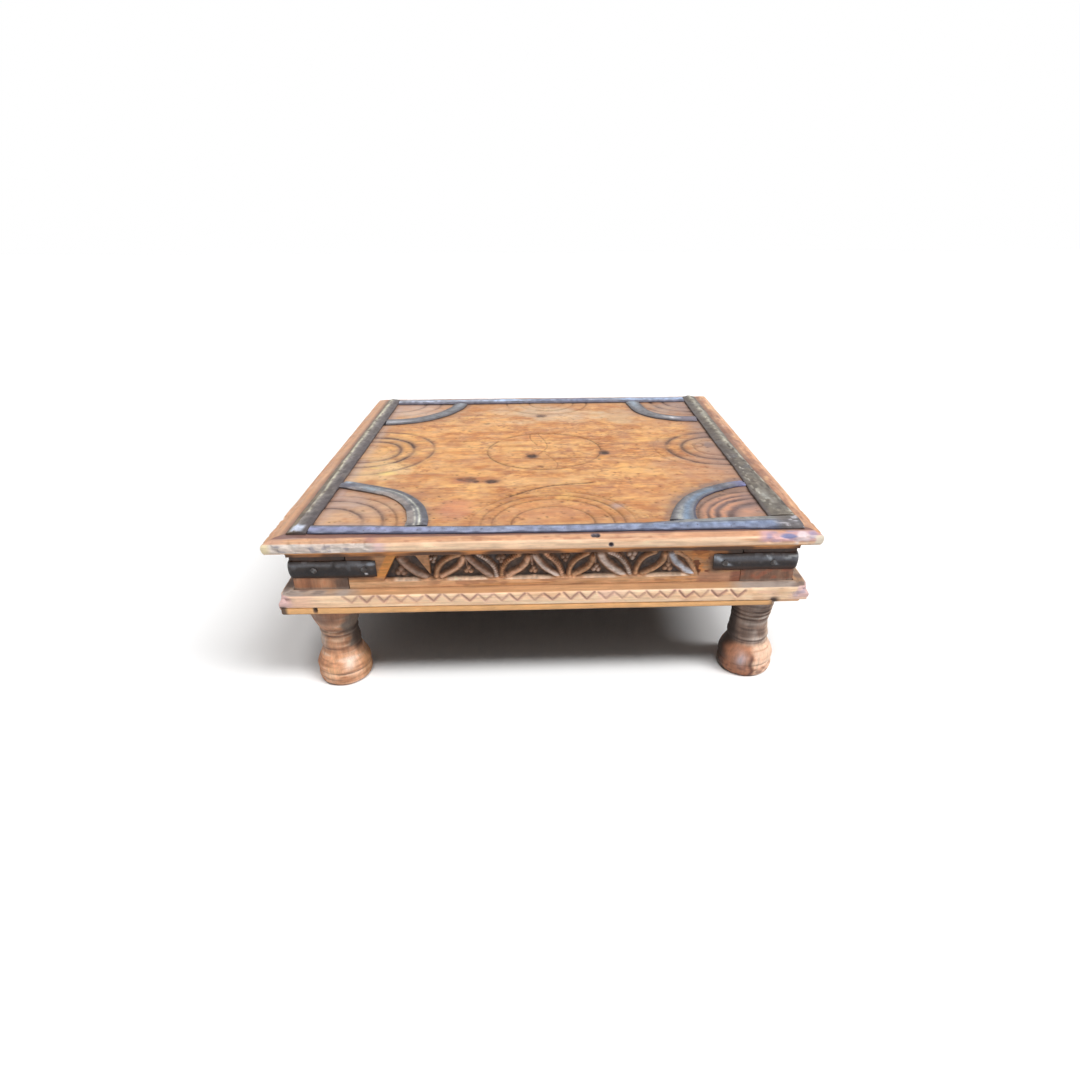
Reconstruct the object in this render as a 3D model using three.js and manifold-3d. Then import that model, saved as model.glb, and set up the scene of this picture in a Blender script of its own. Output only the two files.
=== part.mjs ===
// A bajot: a low square table with a strapped plank top, a carved frieze and turned feet.
// Millimetres, +Z up. The origin is on the floor under the middle of the top, and the front faces -Y.
// An inset is a distance in from the outermost edge of the top, along the floor.
import * as THREE from 'three';
import { mergeVertices } from 'three/addons/utils/BufferGeometryUtils.js';
import Module from 'manifold-3d';

const wasm = await Module();
wasm.setup();

// The table as a whole
const tableWidth = 600;
const tableDepth = 600;
const seatGap = 0.3; // between pieces that bear on each other
const cutOverrun = 2; // how far a cutter runs past the face that it cuts

// How many steps a curve is drawn in
const fineSteps = 4;
const coarseSteps = 2;

// The moulded frame round the planks
const frameThickness = 27;
const frameFaceWidth = 30; // flat and bevel, out to the joint with the planks
const rebateWidth = 14; // the ledge under the planks
const plankThickness = 18;
const bevelWidth = 12;
const bevelDrop = 3.5;
const noseHeight = 12;
const noseBulge = 1.5;
const lipWidth = 3;
const coveStep = 1.5; // left flat at the foot of the cove, down it and towards the frieze

// The planks, front to back
const plankShares = [0.22, 0.2, 0.15, 0.21, 0.22];
const tongueThickness = 5;
const tongueLength = 6;

// The battens under the planks
const battenWidth = 45;
const battenThickness = 18;
const battenOffset = 130; // from the middle of the table to the middle of a batten

// The frieze: rails tenoned into the square blocks of the legs
const friezeHeight = 41; // between the base moulding and the frame
const friezeInset = 19;
const railThickness = 22;
const blockSize = 62;
const blockRounding = 3;
const tenonThickness = 10;
const tenonLength = 26;
const tenonShoulder = 8; // rail left above and below a tenon

// The carved panel in each rail
const panelMargin = 38; // plain rail at each end of the panel
const panelFoot = 7; // plain rail between the base moulding and the panel
const panelHead = 2; // plain rail over the panel
const panelDepth = 7;
const sillRise = 4; // the panel's lower edge slopes up by this
const patternStart = 21; // plain panel before the first leaf
const patternEnd = 6; // plain panel after the last leaf
const leafCount = 9;
const leafHalfWidth = 8.4;
const leafSpread = 3; // how far a leaf's tip stands from the middle line between two leaves
const leafCrest = 6.4; // height of a leaf's rims over the panel floor
const leafValley = 2.2; // height of the middle of a leaf over the panel floor
const leafRoot = 1; // how deep the carving is rooted in the floor
const leafRimShare = 0.6; // where the rim stands across the leaf
const leafTipShare = 0.14; // how wide the leaf still is at its tips
const leafSteps = 5;
const budRadius = 4.6;
const budHeight = 5;
const budSides = 6;

// The base moulding
const baseHeight = 26;
const baseInset = 4; // the outermost line of the moulding
const baseTopFall = 1.5; // the top of the moulding sheds outwards
const baseEdgeRound = 2;
const baseBandHeight = 6; // the plain band under the face with the V marks
const quirkDepth = 1.2;
const quirkHeight = 1.2;
const bandRound = 4;
const notchCount = 24;
const notchEndInset = 85; // from the side of the table to the first mark
const notchHalfWidth = 7;
const notchHeight = 8.5;
const notchLine = 2; // width of the cut line
const notchDepth = 1.2;
const notchFoot = 4; // face left under the marks

// The turned feet, from the floor up
const footHeight = 110;
const footSoleRadius = 31;
const footRadius = 33;
const footDiscHeight = 15.5;
const footBulge = 1.2;
const bulbHeight = 24;
const bulbBulge = 1.6;
const neckRadius = 24.6;
const neckHeight = 24;
const neckHollow = 1.2;
const beadHeight = 8;
const beadBulge = 1.6;
const leftCollarRadius = 30.5;
const rightCollarRadius = 26.5;
const collarSwell = 0.8;
const grooveHeight = 1.4;
const grooveDepth = 1.5;
const footSegments = 16;

// The iron straps on the top
const strapHeight = 5.5;
const strapEdge = 1.2; // thickness of a strap's edge, under the dome
const sideStrapInset = 48; // to the inner edge of the left and right straps
const sideStrapWidth = 26;
const backStrapInset = 50;
const backStrapWidth = 26;
const frontStrapInsetLeft = 38; // the front strap widens to the right
const frontStrapInsetRight = 43;
const frontStrapWidthLeft = 24;
const frontStrapWidthRight = 33;
const leftArcRadius = 126;
const rightArcRadius = 113;
const arcStrapWidth = 23;
const arcStrapHeight = 4.2;
const arcSteps = 12;
const domeSteps = 6;

// The iron corner straps on the frieze
const cornerStrapLap = 32; // along each rail, past the block
const cornerStrapHeight = 23;
const cornerStrapBulge = 5;
const cornerStrapDrop = 6; // below the top of the frieze
const cornerStrapTaper = 5; // how much of each end is rounded over
const endBulgeShare = 0.45;
const endHeightShare = 0.86;

// The nails in them: one through each face into the block, one into the rail
const blockNailShare = 0.75; // of the way from the corner to the mortise
const railNailShare = 0.6; // of the strap's lap on the rail
const nailRadius = 1.5;
const nailClearance = 0.3;
const nailGrip = 14; // how deep the shank goes into the wood
const nailHeadRadius = 4;
const nailHeadHeight = 1.8;
const nailHeadSwell = 0.8;
const nailTipLength = 6;
const nailSides = 6;

const baseTop = footHeight + baseHeight;
const frameUnderside = baseTop + friezeHeight;
const topHeight = frameUnderside + frameThickness;
const ledgeHeight = topHeight - plankThickness;
const friezeTop = frameUnderside - seatGap;
const cornerStrapMiddle = friezeTop - cornerStrapDrop - cornerStrapHeight / 2;
const nailPlaces = [
  (blockSize - tenonLength) * blockNailShare,
  blockSize + cornerStrapLap * railNailShare,
];

const oiledWood = new THREE.MeshStandardMaterial({ color: 0xd79a5e, roughness: 0.6 });
const wornWood = new THREE.MeshStandardMaterial({ color: 0xe8bd8c, roughness: 0.7 });
const darkWood = new THREE.MeshStandardMaterial({ color: 0xa8653c, roughness: 0.65 });
const innerWood = new THREE.MeshStandardMaterial({ color: 0xb98a5a, roughness: 0.8 });
const strapIron = new THREE.MeshStandardMaterial({ color: 0x7f8288, roughness: 0.45, metalness: 0.8 });
const blackIron = new THREE.MeshStandardMaterial({ color: 0x38322f, roughness: 0.4, metalness: 0.8 });
const nailIron = new THREE.MeshStandardMaterial({ color: 0x8d8f92, roughness: 0.4, metalness: 0.9 });

const table = new THREE.Group();

// Each side of the table is built as the front is, then turned round the table's middle.
const sides = [
  { name: 'front', turn: 0, span: tableWidth, reach: tableDepth },
  { name: 'right', turn: Math.PI / 2, span: tableDepth, reach: tableWidth },
  { name: 'back', turn: Math.PI, span: tableWidth, reach: tableDepth },
  { name: 'left', turn: -Math.PI / 2, span: tableDepth, reach: tableWidth },
];
const [frontSide, rightSide, backSide, leftSide] = sides;

// Each corner, by the signs of its X and Y, and the two sides that meet there,
// each with the end of it that the corner is.
const corners = [
  { name: 'front_left', x: -1, y: -1, meets: [[frontSide, -1], [leftSide, 1]] },
  { name: 'front_right', x: 1, y: -1, meets: [[frontSide, 1], [rightSide, -1]] },
  { name: 'back_right', x: 1, y: 1, meets: [[backSide, -1], [rightSide, 1]] },
  { name: 'back_left', x: -1, y: 1, meets: [[backSide, 1], [leftSide, -1]] },
];

function addPart(name, geometry, material, turn = 0) {
  const mesh = new THREE.Mesh(geometry, material);
  mesh.name = name;
  mesh.rotation.z = turn;
  table.add(mesh);
}

function solidOf(geometry) {
  const bare = geometry.clone();
  bare.deleteAttribute('normal');
  bare.deleteAttribute('uv');
  const merged = mergeVertices(bare);
  const triVerts = new Uint32Array(merged.index.array);
  const vertProperties = new Float32Array(merged.attributes.position.array);
  return new wasm.Manifold(new wasm.Mesh({ numProp: 3, vertProperties, triVerts }));
}

function geometryOf(solid) {
  const mesh = solid.getMesh();
  const geometry = new THREE.BufferGeometry();
  geometry.setAttribute('position', new THREE.BufferAttribute(mesh.vertProperties, 3));
  geometry.setIndex(new THREE.BufferAttribute(mesh.triVerts, 1));
  geometry.computeVertexNormals();
  return geometry;
}

// A closed body through rings of points, each ring one section with the points of outline.
function loft(rings, outline) {
  const clockwise = THREE.ShapeUtils.isClockWise(outline);
  const ordered = (list) => (clockwise ? [...list].reverse() : list);
  const count = outline.length;
  const points = rings.flatMap(ordered);
  const faces = [];
  for (let r = 0; r + 1 < rings.length; r += 1) {
    for (let i = 0; i < count; i += 1) {
      const a = r * count + i;
      const b = r * count + (i + 1) % count;
      faces.push([a, b, b + count], [a, b + count, a + count]);
    }
  }
  const last = (rings.length - 1) * count;
  for (const [a, b, c] of THREE.ShapeUtils.triangulateShape(ordered(outline), [])) {
    faces.push([c, b, a], [a + last, b + last, c + last]);
  }
  const volume = faces.reduce((sum, [a, b, c]) => {
    return sum + points[a].dot(new THREE.Vector3().crossVectors(points[b], points[c]));
  }, 0);
  const facingOut = volume > 0 ? faces : faces.map(([a, b, c]) => [c, b, a]);
  const geometry = new THREE.BufferGeometry().setFromPoints(points);
  geometry.setIndex(facingOut.flat());
  geometry.computeVertexNormals();
  return geometry;
}

// A straight bar from x0 to x1, with its section's outline in y and z
function bar(x0, x1, outline) {
  return loft([x0, x1].map((x) => outline.map((p) => new THREE.Vector3(x, p.x, p.y))), outline);
}

function block(x0, x1, y0, y1, z0, z1) {
  const box = new THREE.BoxGeometry(x1 - x0, y1 - y0, z1 - z0);
  return box.translate((x0 + x1) / 2, (y0 + y1) / 2, (z0 + z1) / 2);
}

function point(x, y) {
  return new THREE.Vector2(x, y);
}

// Points from (x0, y0) to (x1, y1) that swell sideways by bulge in the middle.
function swell(x0, y0, x1, y1, bulge, steps) {
  const points = [];
  for (let i = 0; i <= steps; i += 1) {
    const t = i / steps;
    points.push(point(x0 + (x1 - x0) * t + bulge * Math.sin(Math.PI * t), y0 + (y1 - y0) * t));
  }
  return points;
}

// Part of an ellipse round (x, y), from one angle to another.
function bow(x, y, radiusX, radiusY, from, to, steps) {
  const points = [];
  for (let i = 0; i <= steps; i += 1) {
    const angle = from + (to - from) * i / steps;
    points.push(point(x + radiusX * Math.cos(angle), y + radiusY * Math.sin(angle)));
  }
  return points;
}

// A strip along one side with mitred ends. Its outline is in inset and height.
function mitredStrip(outline, side) {
  const rings = [-1, 1].map((end) => outline.map((p) => {
    const x = end * (side.span / 2 - p.x - seatGap / 2);
    return new THREE.Vector3(x, p.x - side.reach / 2, p.y);
  }));
  return loft(rings, outline);
}

// The moulded frame of the top, with its nose, cove and rebate
function frameOutline() {
  const noseTop = topHeight - bevelDrop;
  const lipHeight = noseTop - noseHeight;
  const coveFoot = frameUnderside + coveStep;
  const coveEnd = friezeInset - coveStep;
  const ledgeEnd = frameFaceWidth + rebateWidth;
  return [
    point(frameFaceWidth, topHeight),
    point(bevelWidth, topHeight),
    ...swell(noseBulge, noseTop, noseBulge, lipHeight, -noseBulge, fineSteps),
    ...bow(lipWidth, coveFoot, coveEnd - lipWidth, lipHeight - coveFoot, Math.PI / 2, 0, fineSteps),
    point(coveEnd, frameUnderside),
    point(ledgeEnd, frameUnderside),
    point(ledgeEnd, ledgeHeight),
    point(frameFaceWidth, ledgeHeight),
  ];
}

function makeFrame() {
  for (const side of sides) {
    addPart(`top_frame_${side.name}`, mitredStrip(frameOutline(), side), oiledWood, side.turn);
  }
}

// A plank's section from y0 to y1: its groove is at y0 and its tongue at y1.
function plankOutline(y0, y1, hasGroove, hasTongue) {
  const floor = ledgeHeight + seatGap;
  const middle = (floor + topHeight) / 2;
  const half = tongueThickness / 2;
  const groove = [
    point(y0, middle - half - seatGap),
    point(y0 + tongueLength, middle - half - seatGap),
    point(y0 + tongueLength, middle + half + seatGap),
    point(y0, middle + half + seatGap),
  ];
  const tongue = [
    point(y1, middle + half),
    point(y1 + tongueLength, middle + half),
    point(y1 + tongueLength, middle - half),
    point(y1, middle - half),
  ];
  return [
    point(y0, floor),
    ...(hasGroove ? groove : []),
    point(y0, topHeight),
    point(y1, topHeight),
    ...(hasTongue ? tongue : []),
    point(y1, floor),
  ];
}

// The planks lie edge to edge on the ledge of the frame.
function makePlanks() {
  const halfLength = tableWidth / 2 - frameFaceWidth - seatGap;
  const halfSpread = tableDepth / 2 - frameFaceWidth - seatGap;
  let edge = -halfSpread;
  plankShares.forEach((share, i) => {
    const isLast = i + 1 === plankShares.length;
    const next = isLast ? halfSpread : edge + 2 * halfSpread * share;
    const outline = plankOutline(edge, isLast ? next : next - seatGap, i > 0, !isLast);
    addPart(`top_plank_${i + 1}`, bar(-halfLength, halfLength, outline), oiledWood);
    edge = next;
  });
}

// The battens run from front to back under the planks, inside the frame's ledge and the rails.
function makeBattens() {
  const endInset = Math.max(frameFaceWidth + rebateWidth, friezeInset + railThickness) + seatGap;
  const halfLength = tableDepth / 2 - endInset;
  const half = battenWidth / 2;
  const foot = ledgeHeight - battenThickness;
  for (const [name, x] of [['left', -battenOffset], ['right', battenOffset]]) {
    const batten = block(x - half, x + half, -halfLength, halfLength, foot, ledgeHeight);
    addPart(`batten_${name}`, batten, innerWood);
  }
}

// Where the rail on a side runs: its shoulders are at -end and end.
function railOn(side) {
  const face = friezeInset - side.reach / 2;
  return {
    end: side.span / 2 - friezeInset - blockSize - seatGap,
    face,
    tenonFace: face + (railThickness - tenonThickness) / 2,
    tenonFoot: footHeight + tenonShoulder,
    tenonTop: friezeTop - tenonShoulder,
  };
}

// A leaf on a floor at y, from (x0, z0) to (x1, z1): two rims with a hollow between them.
function leaf(x0, z0, x1, z1, y) {
  const along = point(x1 - x0, z1 - z0);
  const across = point(-along.y, along.x).normalize();
  const section = [
    [-1, -leafRoot],
    [-leafRimShare, leafCrest],
    [0, leafValley],
    [leafRimShare, leafCrest],
    [1, -leafRoot],
  ];
  const rings = [];
  for (let i = 0; i <= leafSteps; i += 1) {
    const t = i / leafSteps;
    const fullness = leafTipShare + (1 - leafTipShare) * Math.sin(Math.PI * t);
    rings.push(section.map(([shift, rise]) => {
      const w = shift * leafHalfWidth * fullness;
      const x = x0 + along.x * t + across.x * w;
      const z = z0 + along.y * t + across.y * w;
      return new THREE.Vector3(x, y - rise, z);
    }));
  }
  return solidOf(loft(rings, section.map(([shift, rise]) => point(shift * leafHalfWidth, rise))));
}

function bud(x, z, y) {
  const outline = [point(0, -leafRoot), point(budRadius, -leafRoot), point(0, budHeight)];
  return solidOf(new THREE.LatheGeometry(outline, budSides).rotateX(Math.PI).translate(x, y, z));
}

// The hollow of the carved panel, with a sill that slopes up to its floor
function panelCutter(rail, foot, head) {
  const floor = rail.face + panelDepth;
  const outline = [
    point(rail.face - cutOverrun, foot),
    point(rail.face, foot),
    point(floor, foot + sillRise),
    point(floor, head),
    point(rail.face - cutOverrun, head),
  ];
  return solidOf(bar(panelMargin - rail.end, rail.end - panelMargin, outline));
}

// Leaves lean left and right in turn, with a bud in each gap between them.
function panelCarving(rail, foot, head) {
  const left = panelMargin - rail.end;
  const right = rail.end - panelMargin;
  const floor = rail.face + panelDepth;
  const start = left + patternStart;
  const pitch = (right - patternEnd - start) / leafCount;
  const low = foot + sillRise / 2;
  const lowBud = foot + sillRise + budRadius;
  const pieces = [bud(start, lowBud, floor)];
  for (let i = 0; i < leafCount; i += 1) {
    const falls = i % 2 === 0;
    const x0 = start + pitch * i + leafSpread;
    const x1 = start + pitch * (i + 1) - leafSpread;
    pieces.push(falls ? leaf(x0, head, x1, low, floor) : leaf(x0, low, x1, head, floor));
    pieces.push(bud(start + pitch * (i + 1), falls ? head - budRadius : lowBud, floor));
  }
  const room = solidOf(block(left, right, rail.face, floor + leafRoot, foot, head));
  return wasm.Manifold.union(pieces).intersect(room);
}

// A round hole square to a side's face, at x along the side, to a depth on both sides of the face
function nailHole(side, x, depth) {
  const radius = nailRadius + nailClearance;
  const hole = new THREE.CylinderGeometry(radius, radius, 2 * depth, nailSides);
  hole.translate(x, friezeInset - side.reach / 2, cornerStrapMiddle);
  return hole;
}

// Where the nails stand along a side, at its end -1 or 1
function nailsAt(side, end) {
  return nailPlaces.map((place) => end * (side.span / 2 - friezeInset - place));
}

function makeRails() {
  for (const side of sides) {
    const rail = railOn(side);
    const foot = baseTop + panelFoot;
    const head = friezeTop - panelHead;
    const tenonEnd = rail.end + tenonLength;
    const tenonBack = rail.tenonFace + tenonThickness;
    const back = rail.face + railThickness;
    const plain = block(-rail.end, rail.end, rail.face, back, footHeight, friezeTop);
    const tenons = block(-tenonEnd, tenonEnd, rail.tenonFace, tenonBack, rail.tenonFoot, rail.tenonTop);
    let solid = solidOf(plain).add(solidOf(tenons));
    solid = solid.subtract(panelCutter(rail, foot, head)).add(panelCarving(rail, foot, head));
    for (const end of [-1, 1]) {
      const [, railNail] = nailsAt(side, end);
      solid = solid.subtract(solidOf(nailHole(side, railNail, nailGrip + nailClearance)));
    }
    addPart(`frieze_rail_${side.name}`, geometryOf(solid), darkWood, side.turn);
  }
}

// The base moulding, as inset and height
function baseOutline() {
  const back = friezeInset - seatGap;
  const edge = baseInset + baseEdgeRound;
  const bandFace = baseInset + quirkDepth;
  const bandTop = footHeight + baseBandHeight;
  const underside = bow(
    bandFace + bandRound,
    footHeight + bandRound,
    bandRound,
    bandRound,
    Math.PI,
    1.5 * Math.PI,
    fineSteps,
  );
  return [
    point(back, baseTop),
    point(edge, baseTop - baseTopFall),
    point(baseInset, baseTop - baseTopFall - baseEdgeRound),
    point(baseInset, bandTop + quirkHeight),
    point(bandFace, bandTop),
    ...underside,
    point(back, footHeight),
  ];
}

// One V mark in the face of the moulding
function notch(x, side) {
  const foot = footHeight + baseBandHeight + quirkHeight + notchFoot;
  const top = foot + notchHeight;
  const half = notchHalfWidth;
  const shape = new THREE.Shape([
    point(x, foot),
    point(x + half, top),
    point(x + half - notchLine, top),
    point(x, foot + notchLine * notchHeight / half),
    point(x - half + notchLine, top),
    point(x - half, top),
  ]);
  const depth = notchDepth + cutOverrun;
  const cutter = new THREE.ExtrudeGeometry(shape, { depth, bevelEnabled: false });
  const floor = baseInset - side.reach / 2 + notchDepth;
  return solidOf(cutter.rotateX(Math.PI / 2).translate(0, floor, 0));
}

function makeBaseMoulding() {
  for (const side of sides) {
    const first = notchEndInset - side.span / 2;
    const pitch = -2 * first / (notchCount - 1);
    const marks = [];
    for (let i = 0; i < notchCount; i += 1) {
      marks.push(notch(first + pitch * i, side));
    }
    const strip = solidOf(mitredStrip(baseOutline(), side));
    const solid = strip.subtract(wasm.Manifold.union(marks));
    addPart(`base_moulding_${side.name}`, geometryOf(solid), wornWood, side.turn);
  }
}

// The turned foot, as radius and height from the floor up
function footOutline(collarRadius) {
  const groove = (radius, z) => point(radius - grooveDepth, z + grooveHeight / 2);
  const bulbFoot = footDiscHeight + grooveHeight;
  const bulbTop = bulbFoot + bulbHeight;
  const neckFoot = bulbTop + grooveHeight;
  const neckTop = neckFoot + neckHeight;
  const beadFoot = neckTop + grooveHeight;
  const beadTop = beadFoot + beadHeight;
  return [
    point(0, 0),
    ...swell(footSoleRadius, 0, footRadius, footDiscHeight, footBulge, coarseSteps),
    groove(footRadius, footDiscHeight),
    ...swell(footRadius, bulbFoot, neckRadius, bulbTop, bulbBulge, fineSteps),
    groove(neckRadius, bulbTop),
    ...swell(neckRadius, neckFoot, neckRadius, neckTop, -neckHollow, coarseSteps),
    groove(neckRadius, neckTop),
    ...swell(neckRadius, beadFoot, neckRadius, beadTop, beadBulge, coarseSteps),
    groove(neckRadius, beadTop),
    ...swell(neckRadius, beadTop + grooveHeight, collarRadius, footHeight, collarSwell, coarseSteps),
    point(0, footHeight),
  ];
}

// The square block over the foot in plan, with its outer edge eased
function blockOutline(corner) {
  const outerX = tableWidth / 2 - friezeInset;
  const outerY = tableDepth / 2 - friezeInset;
  const innerX = outerX - blockSize;
  const innerY = outerY - blockSize;
  const round = blockRounding;
  const points = [
    point(innerX, innerY),
    point(outerX, innerY),
    ...bow(outerX - round, outerY - round, round, round, 0, Math.PI / 2, coarseSteps),
    point(innerX, outerY),
  ];
  return points.map((p) => point(corner.x * p.x, corner.y * p.y));
}

// The mortise that takes the tenon at one end of a side's rail
function mortise(side, end) {
  const rail = railOn(side);
  const mouth = end * (rail.end - cutOverrun);
  const bottom = end * (rail.end + tenonLength + seatGap);
  return block(
    Math.min(mouth, bottom),
    Math.max(mouth, bottom),
    rail.tenonFace - seatGap,
    rail.tenonFace + tenonThickness + seatGap,
    rail.tenonFoot - seatGap,
    rail.tenonTop + seatGap,
  );
}

function makeLegs() {
  for (const corner of corners) {
    const x = corner.x * (tableWidth / 2 - friezeInset - blockSize / 2);
    const y = corner.y * (tableDepth / 2 - friezeInset - blockSize / 2);
    const collarRadius = corner.x < 0 ? leftCollarRadius : rightCollarRadius;
    const foot = new THREE.LatheGeometry(footOutline(collarRadius), footSegments);
    foot.rotateX(Math.PI / 2).translate(x, y, 0);
    const outline = blockOutline(corner);
    const rings = [footHeight, friezeTop].map((z) => {
      return outline.map((p) => new THREE.Vector3(p.x, p.y, z));
    });
    let solid = solidOf(foot).add(solidOf(loft(rings, outline)));
    for (const [side, end] of corner.meets) {
      const [blockNail] = nailsAt(side, end);
      const hole = nailHole(side, blockNail, nailGrip + nailClearance).rotateZ(side.turn);
      solid = solid.subtract(solidOf(mortise(side, end).rotateZ(side.turn))).subtract(solidOf(hole));
    }
    addPart(`leg_${corner.name}`, geometryOf(solid), darkWood);
  }
}

// The section of a strap: flat underneath, thin at its edges and domed over
function domeOutline(width, height) {
  const dome = bow(0, strapEdge, width / 2, height - strapEdge, Math.PI, 0, domeSteps);
  return [point(-width / 2, 0), ...dome, point(width / 2, 0)];
}

// That section standing on the top at (x, y), spread along the direction across
function strapRing(x, y, across, width, height) {
  return domeOutline(width, height).map((p) => {
    return new THREE.Vector3(x + across.x * p.x, y + across.y * p.x, topHeight + seatGap + p.y);
  });
}

const sideStrapInner = tableWidth / 2 - sideStrapInset;
const sideStrapOuter = sideStrapInner + sideStrapWidth;
const sideStrapMiddle = sideStrapInner + sideStrapWidth / 2;
const backStrapInner = tableDepth / 2 - backStrapInset;

// The inner edge of the front strap at x
function frontStrapInner(x) {
  const share = (x + tableWidth / 2) / tableWidth;
  return frontStrapInsetLeft + (frontStrapInsetRight - frontStrapInsetLeft) * share - tableDepth / 2;
}

// The left strap runs the whole way, from the outer edge of the front strap to that of the back
// strap. The right one stops at the front strap, and the back one lies between the side straps.
function makeEdgeStraps() {
  const addStrap = (name, rings, width) => {
    addPart(`edge_strap_${name}`, loft(rings, domeOutline(width, strapHeight)), strapIron);
  };
  const backEnd = backStrapInner + backStrapWidth;
  const leftStart = frontStrapInner(-sideStrapOuter) - frontStrapWidthLeft;
  const rightStart = frontStrapInner(sideStrapOuter) + seatGap;
  const sideStraps = [['left', -sideStrapMiddle, leftStart], ['right', sideStrapMiddle, rightStart]];
  for (const [name, x, start] of sideStraps) {
    const rings = [start, backEnd].map((y) => strapRing(x, y, point(1, 0), sideStrapWidth, strapHeight));
    addStrap(name, rings, sideStrapWidth);
  }
  const frontLeft = [seatGap - sideStrapInner, frontStrapWidthLeft];
  const frontRight = [sideStrapOuter, frontStrapWidthRight];
  const frontRings = [frontLeft, frontRight].map(([x, width]) => {
    return strapRing(x, frontStrapInner(x) - width / 2, point(0, -1), width, strapHeight);
  });
  addStrap('front', frontRings, frontStrapWidthLeft);
  const backRings = [seatGap - sideStrapInner, sideStrapInner - seatGap].map((x) => {
    return strapRing(x, backStrapInner + backStrapWidth / 2, point(0, -1), backStrapWidth, strapHeight);
  });
  addStrap('back', backRings, backStrapWidth);
}

// The quarter circles, each centred where the edge straps' inner edges meet
function makeArcStraps() {
  for (const corner of corners) {
    const radius = corner.x < 0 ? leftArcRadius : rightArcRadius;
    const middle = radius - arcStrapWidth / 2;
    const innerEnd = radius - arcStrapWidth;
    const highest = corner.x < 0 ? radius - sideStrapInner : sideStrapInner - innerEnd;
    const centreX = corner.x * (sideStrapInner - seatGap);
    const centreY = corner.y < 0 ? frontStrapInner(highest) + seatGap : backStrapInner - seatGap;
    const rings = [];
    for (let i = 0; i <= arcSteps; i += 1) {
      const angle = Math.PI / 2 * i / arcSteps;
      const away = point(-corner.x * Math.cos(angle), -corner.y * Math.sin(angle));
      const ring = strapRing(
        centreX + away.x * middle, centreY + away.y * middle, away, arcStrapWidth, arcStrapHeight);
      rings.push(ring);
    }
    const outline = domeOutline(arcStrapWidth, arcStrapHeight);
    addPart(`arc_strap_${corner.name}`, loft(rings, outline), strapIron);
  }
}

// The section of a corner strap, as the way out from the wood and height
function cornerStrapOutline(bulgeShare, heightShare) {
  const half = cornerStrapHeight / 2 * heightShare;
  return bow(0, 0, cornerStrapBulge * bulgeShare, half, -Math.PI / 2, Math.PI / 2, domeSteps);
}

// Stations along a corner strap: a place in plan, the direction out from the wood, and the shares
// of the full bulge and height that the section has there.
function cornerStrapStations(corner) {
  const x = corner.x * (tableWidth / 2 - friezeInset - blockRounding);
  const y = corner.y * (tableDepth / 2 - friezeInset - blockRounding);
  const straight = blockSize + cornerStrapLap - blockRounding;
  const ends = [[straight, endBulgeShare, endHeightShare], [straight - cornerStrapTaper, 1, 1]];
  const alongX = ends.map(([back, bulge, height]) => {
    return { x: x - corner.x * back, y, out: point(0, corner.y), bulge, height };
  });
  const alongY = ends.map(([back, bulge, height]) => {
    return { x, y: y - corner.y * back, out: point(corner.x, 0), bulge, height };
  });
  const bend = bow(0, 0, 1, 1, Math.PI / 2, 0, fineSteps).map((p) => {
    return { x, y, out: point(corner.x * p.x, corner.y * p.y), bulge: 1, height: 1 };
  });
  return [...alongX, ...bend, ...alongY.reverse()];
}

function makeCornerStraps() {
  const back = blockRounding + seatGap;
  for (const corner of corners) {
    const rings = cornerStrapStations(corner).map(({ x, y, out, bulge, height }) => {
      return cornerStrapOutline(bulge, height).map((p) => {
        const away = back + p.x;
        return new THREE.Vector3(x + out.x * away, y + out.y * away, cornerStrapMiddle + p.y);
      });
    });
    let solid = solidOf(loft(rings, cornerStrapOutline(1, 1)));
    for (const [side, end] of corner.meets) {
      for (const x of nailsAt(side, end)) {
        const hole = nailHole(side, x, seatGap + cornerStrapBulge + cutOverrun);
        solid = solid.subtract(solidOf(hole.rotateZ(side.turn)));
      }
    }
    addPart(`corner_strap_${corner.name}`, geometryOf(solid), blackIron);
  }
}

// A nail that points along +Y, as radius and distance from the seat of its head
function nailOutline() {
  const shank = seatGap + cornerStrapBulge + seatGap + nailGrip;
  return [
    ...swell(0, -nailHeadHeight, nailHeadRadius, 0, nailHeadSwell, coarseSteps),
    point(nailRadius, 0),
    point(nailRadius, shank - nailTipLength),
    point(0, shank),
  ];
}

function makeNails() {
  for (const corner of corners) {
    for (const [side, end] of corner.meets) {
      nailsAt(side, end).forEach((x, i) => {
        const nail = new THREE.LatheGeometry(nailOutline(), nailSides);
        const seat = friezeInset - side.reach / 2 - seatGap - cornerStrapBulge - seatGap;
        nail.translate(x, seat, cornerStrapMiddle);
        addPart(`nail_${corner.name}_${side.name}_${i + 1}`, nail, nailIron, side.turn);
      });
    }
  }
}

makeFrame();
makePlanks();
makeBattens();
makeRails();
makeLegs();
makeBaseMoulding();
makeEdgeStraps();
makeArcStraps();
makeCornerStraps();
makeNails();

export default table;
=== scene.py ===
import itertools
import math
from types import SimpleNamespace

import bpy
import numpy as np
from mathutils import Matrix, Vector


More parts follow.
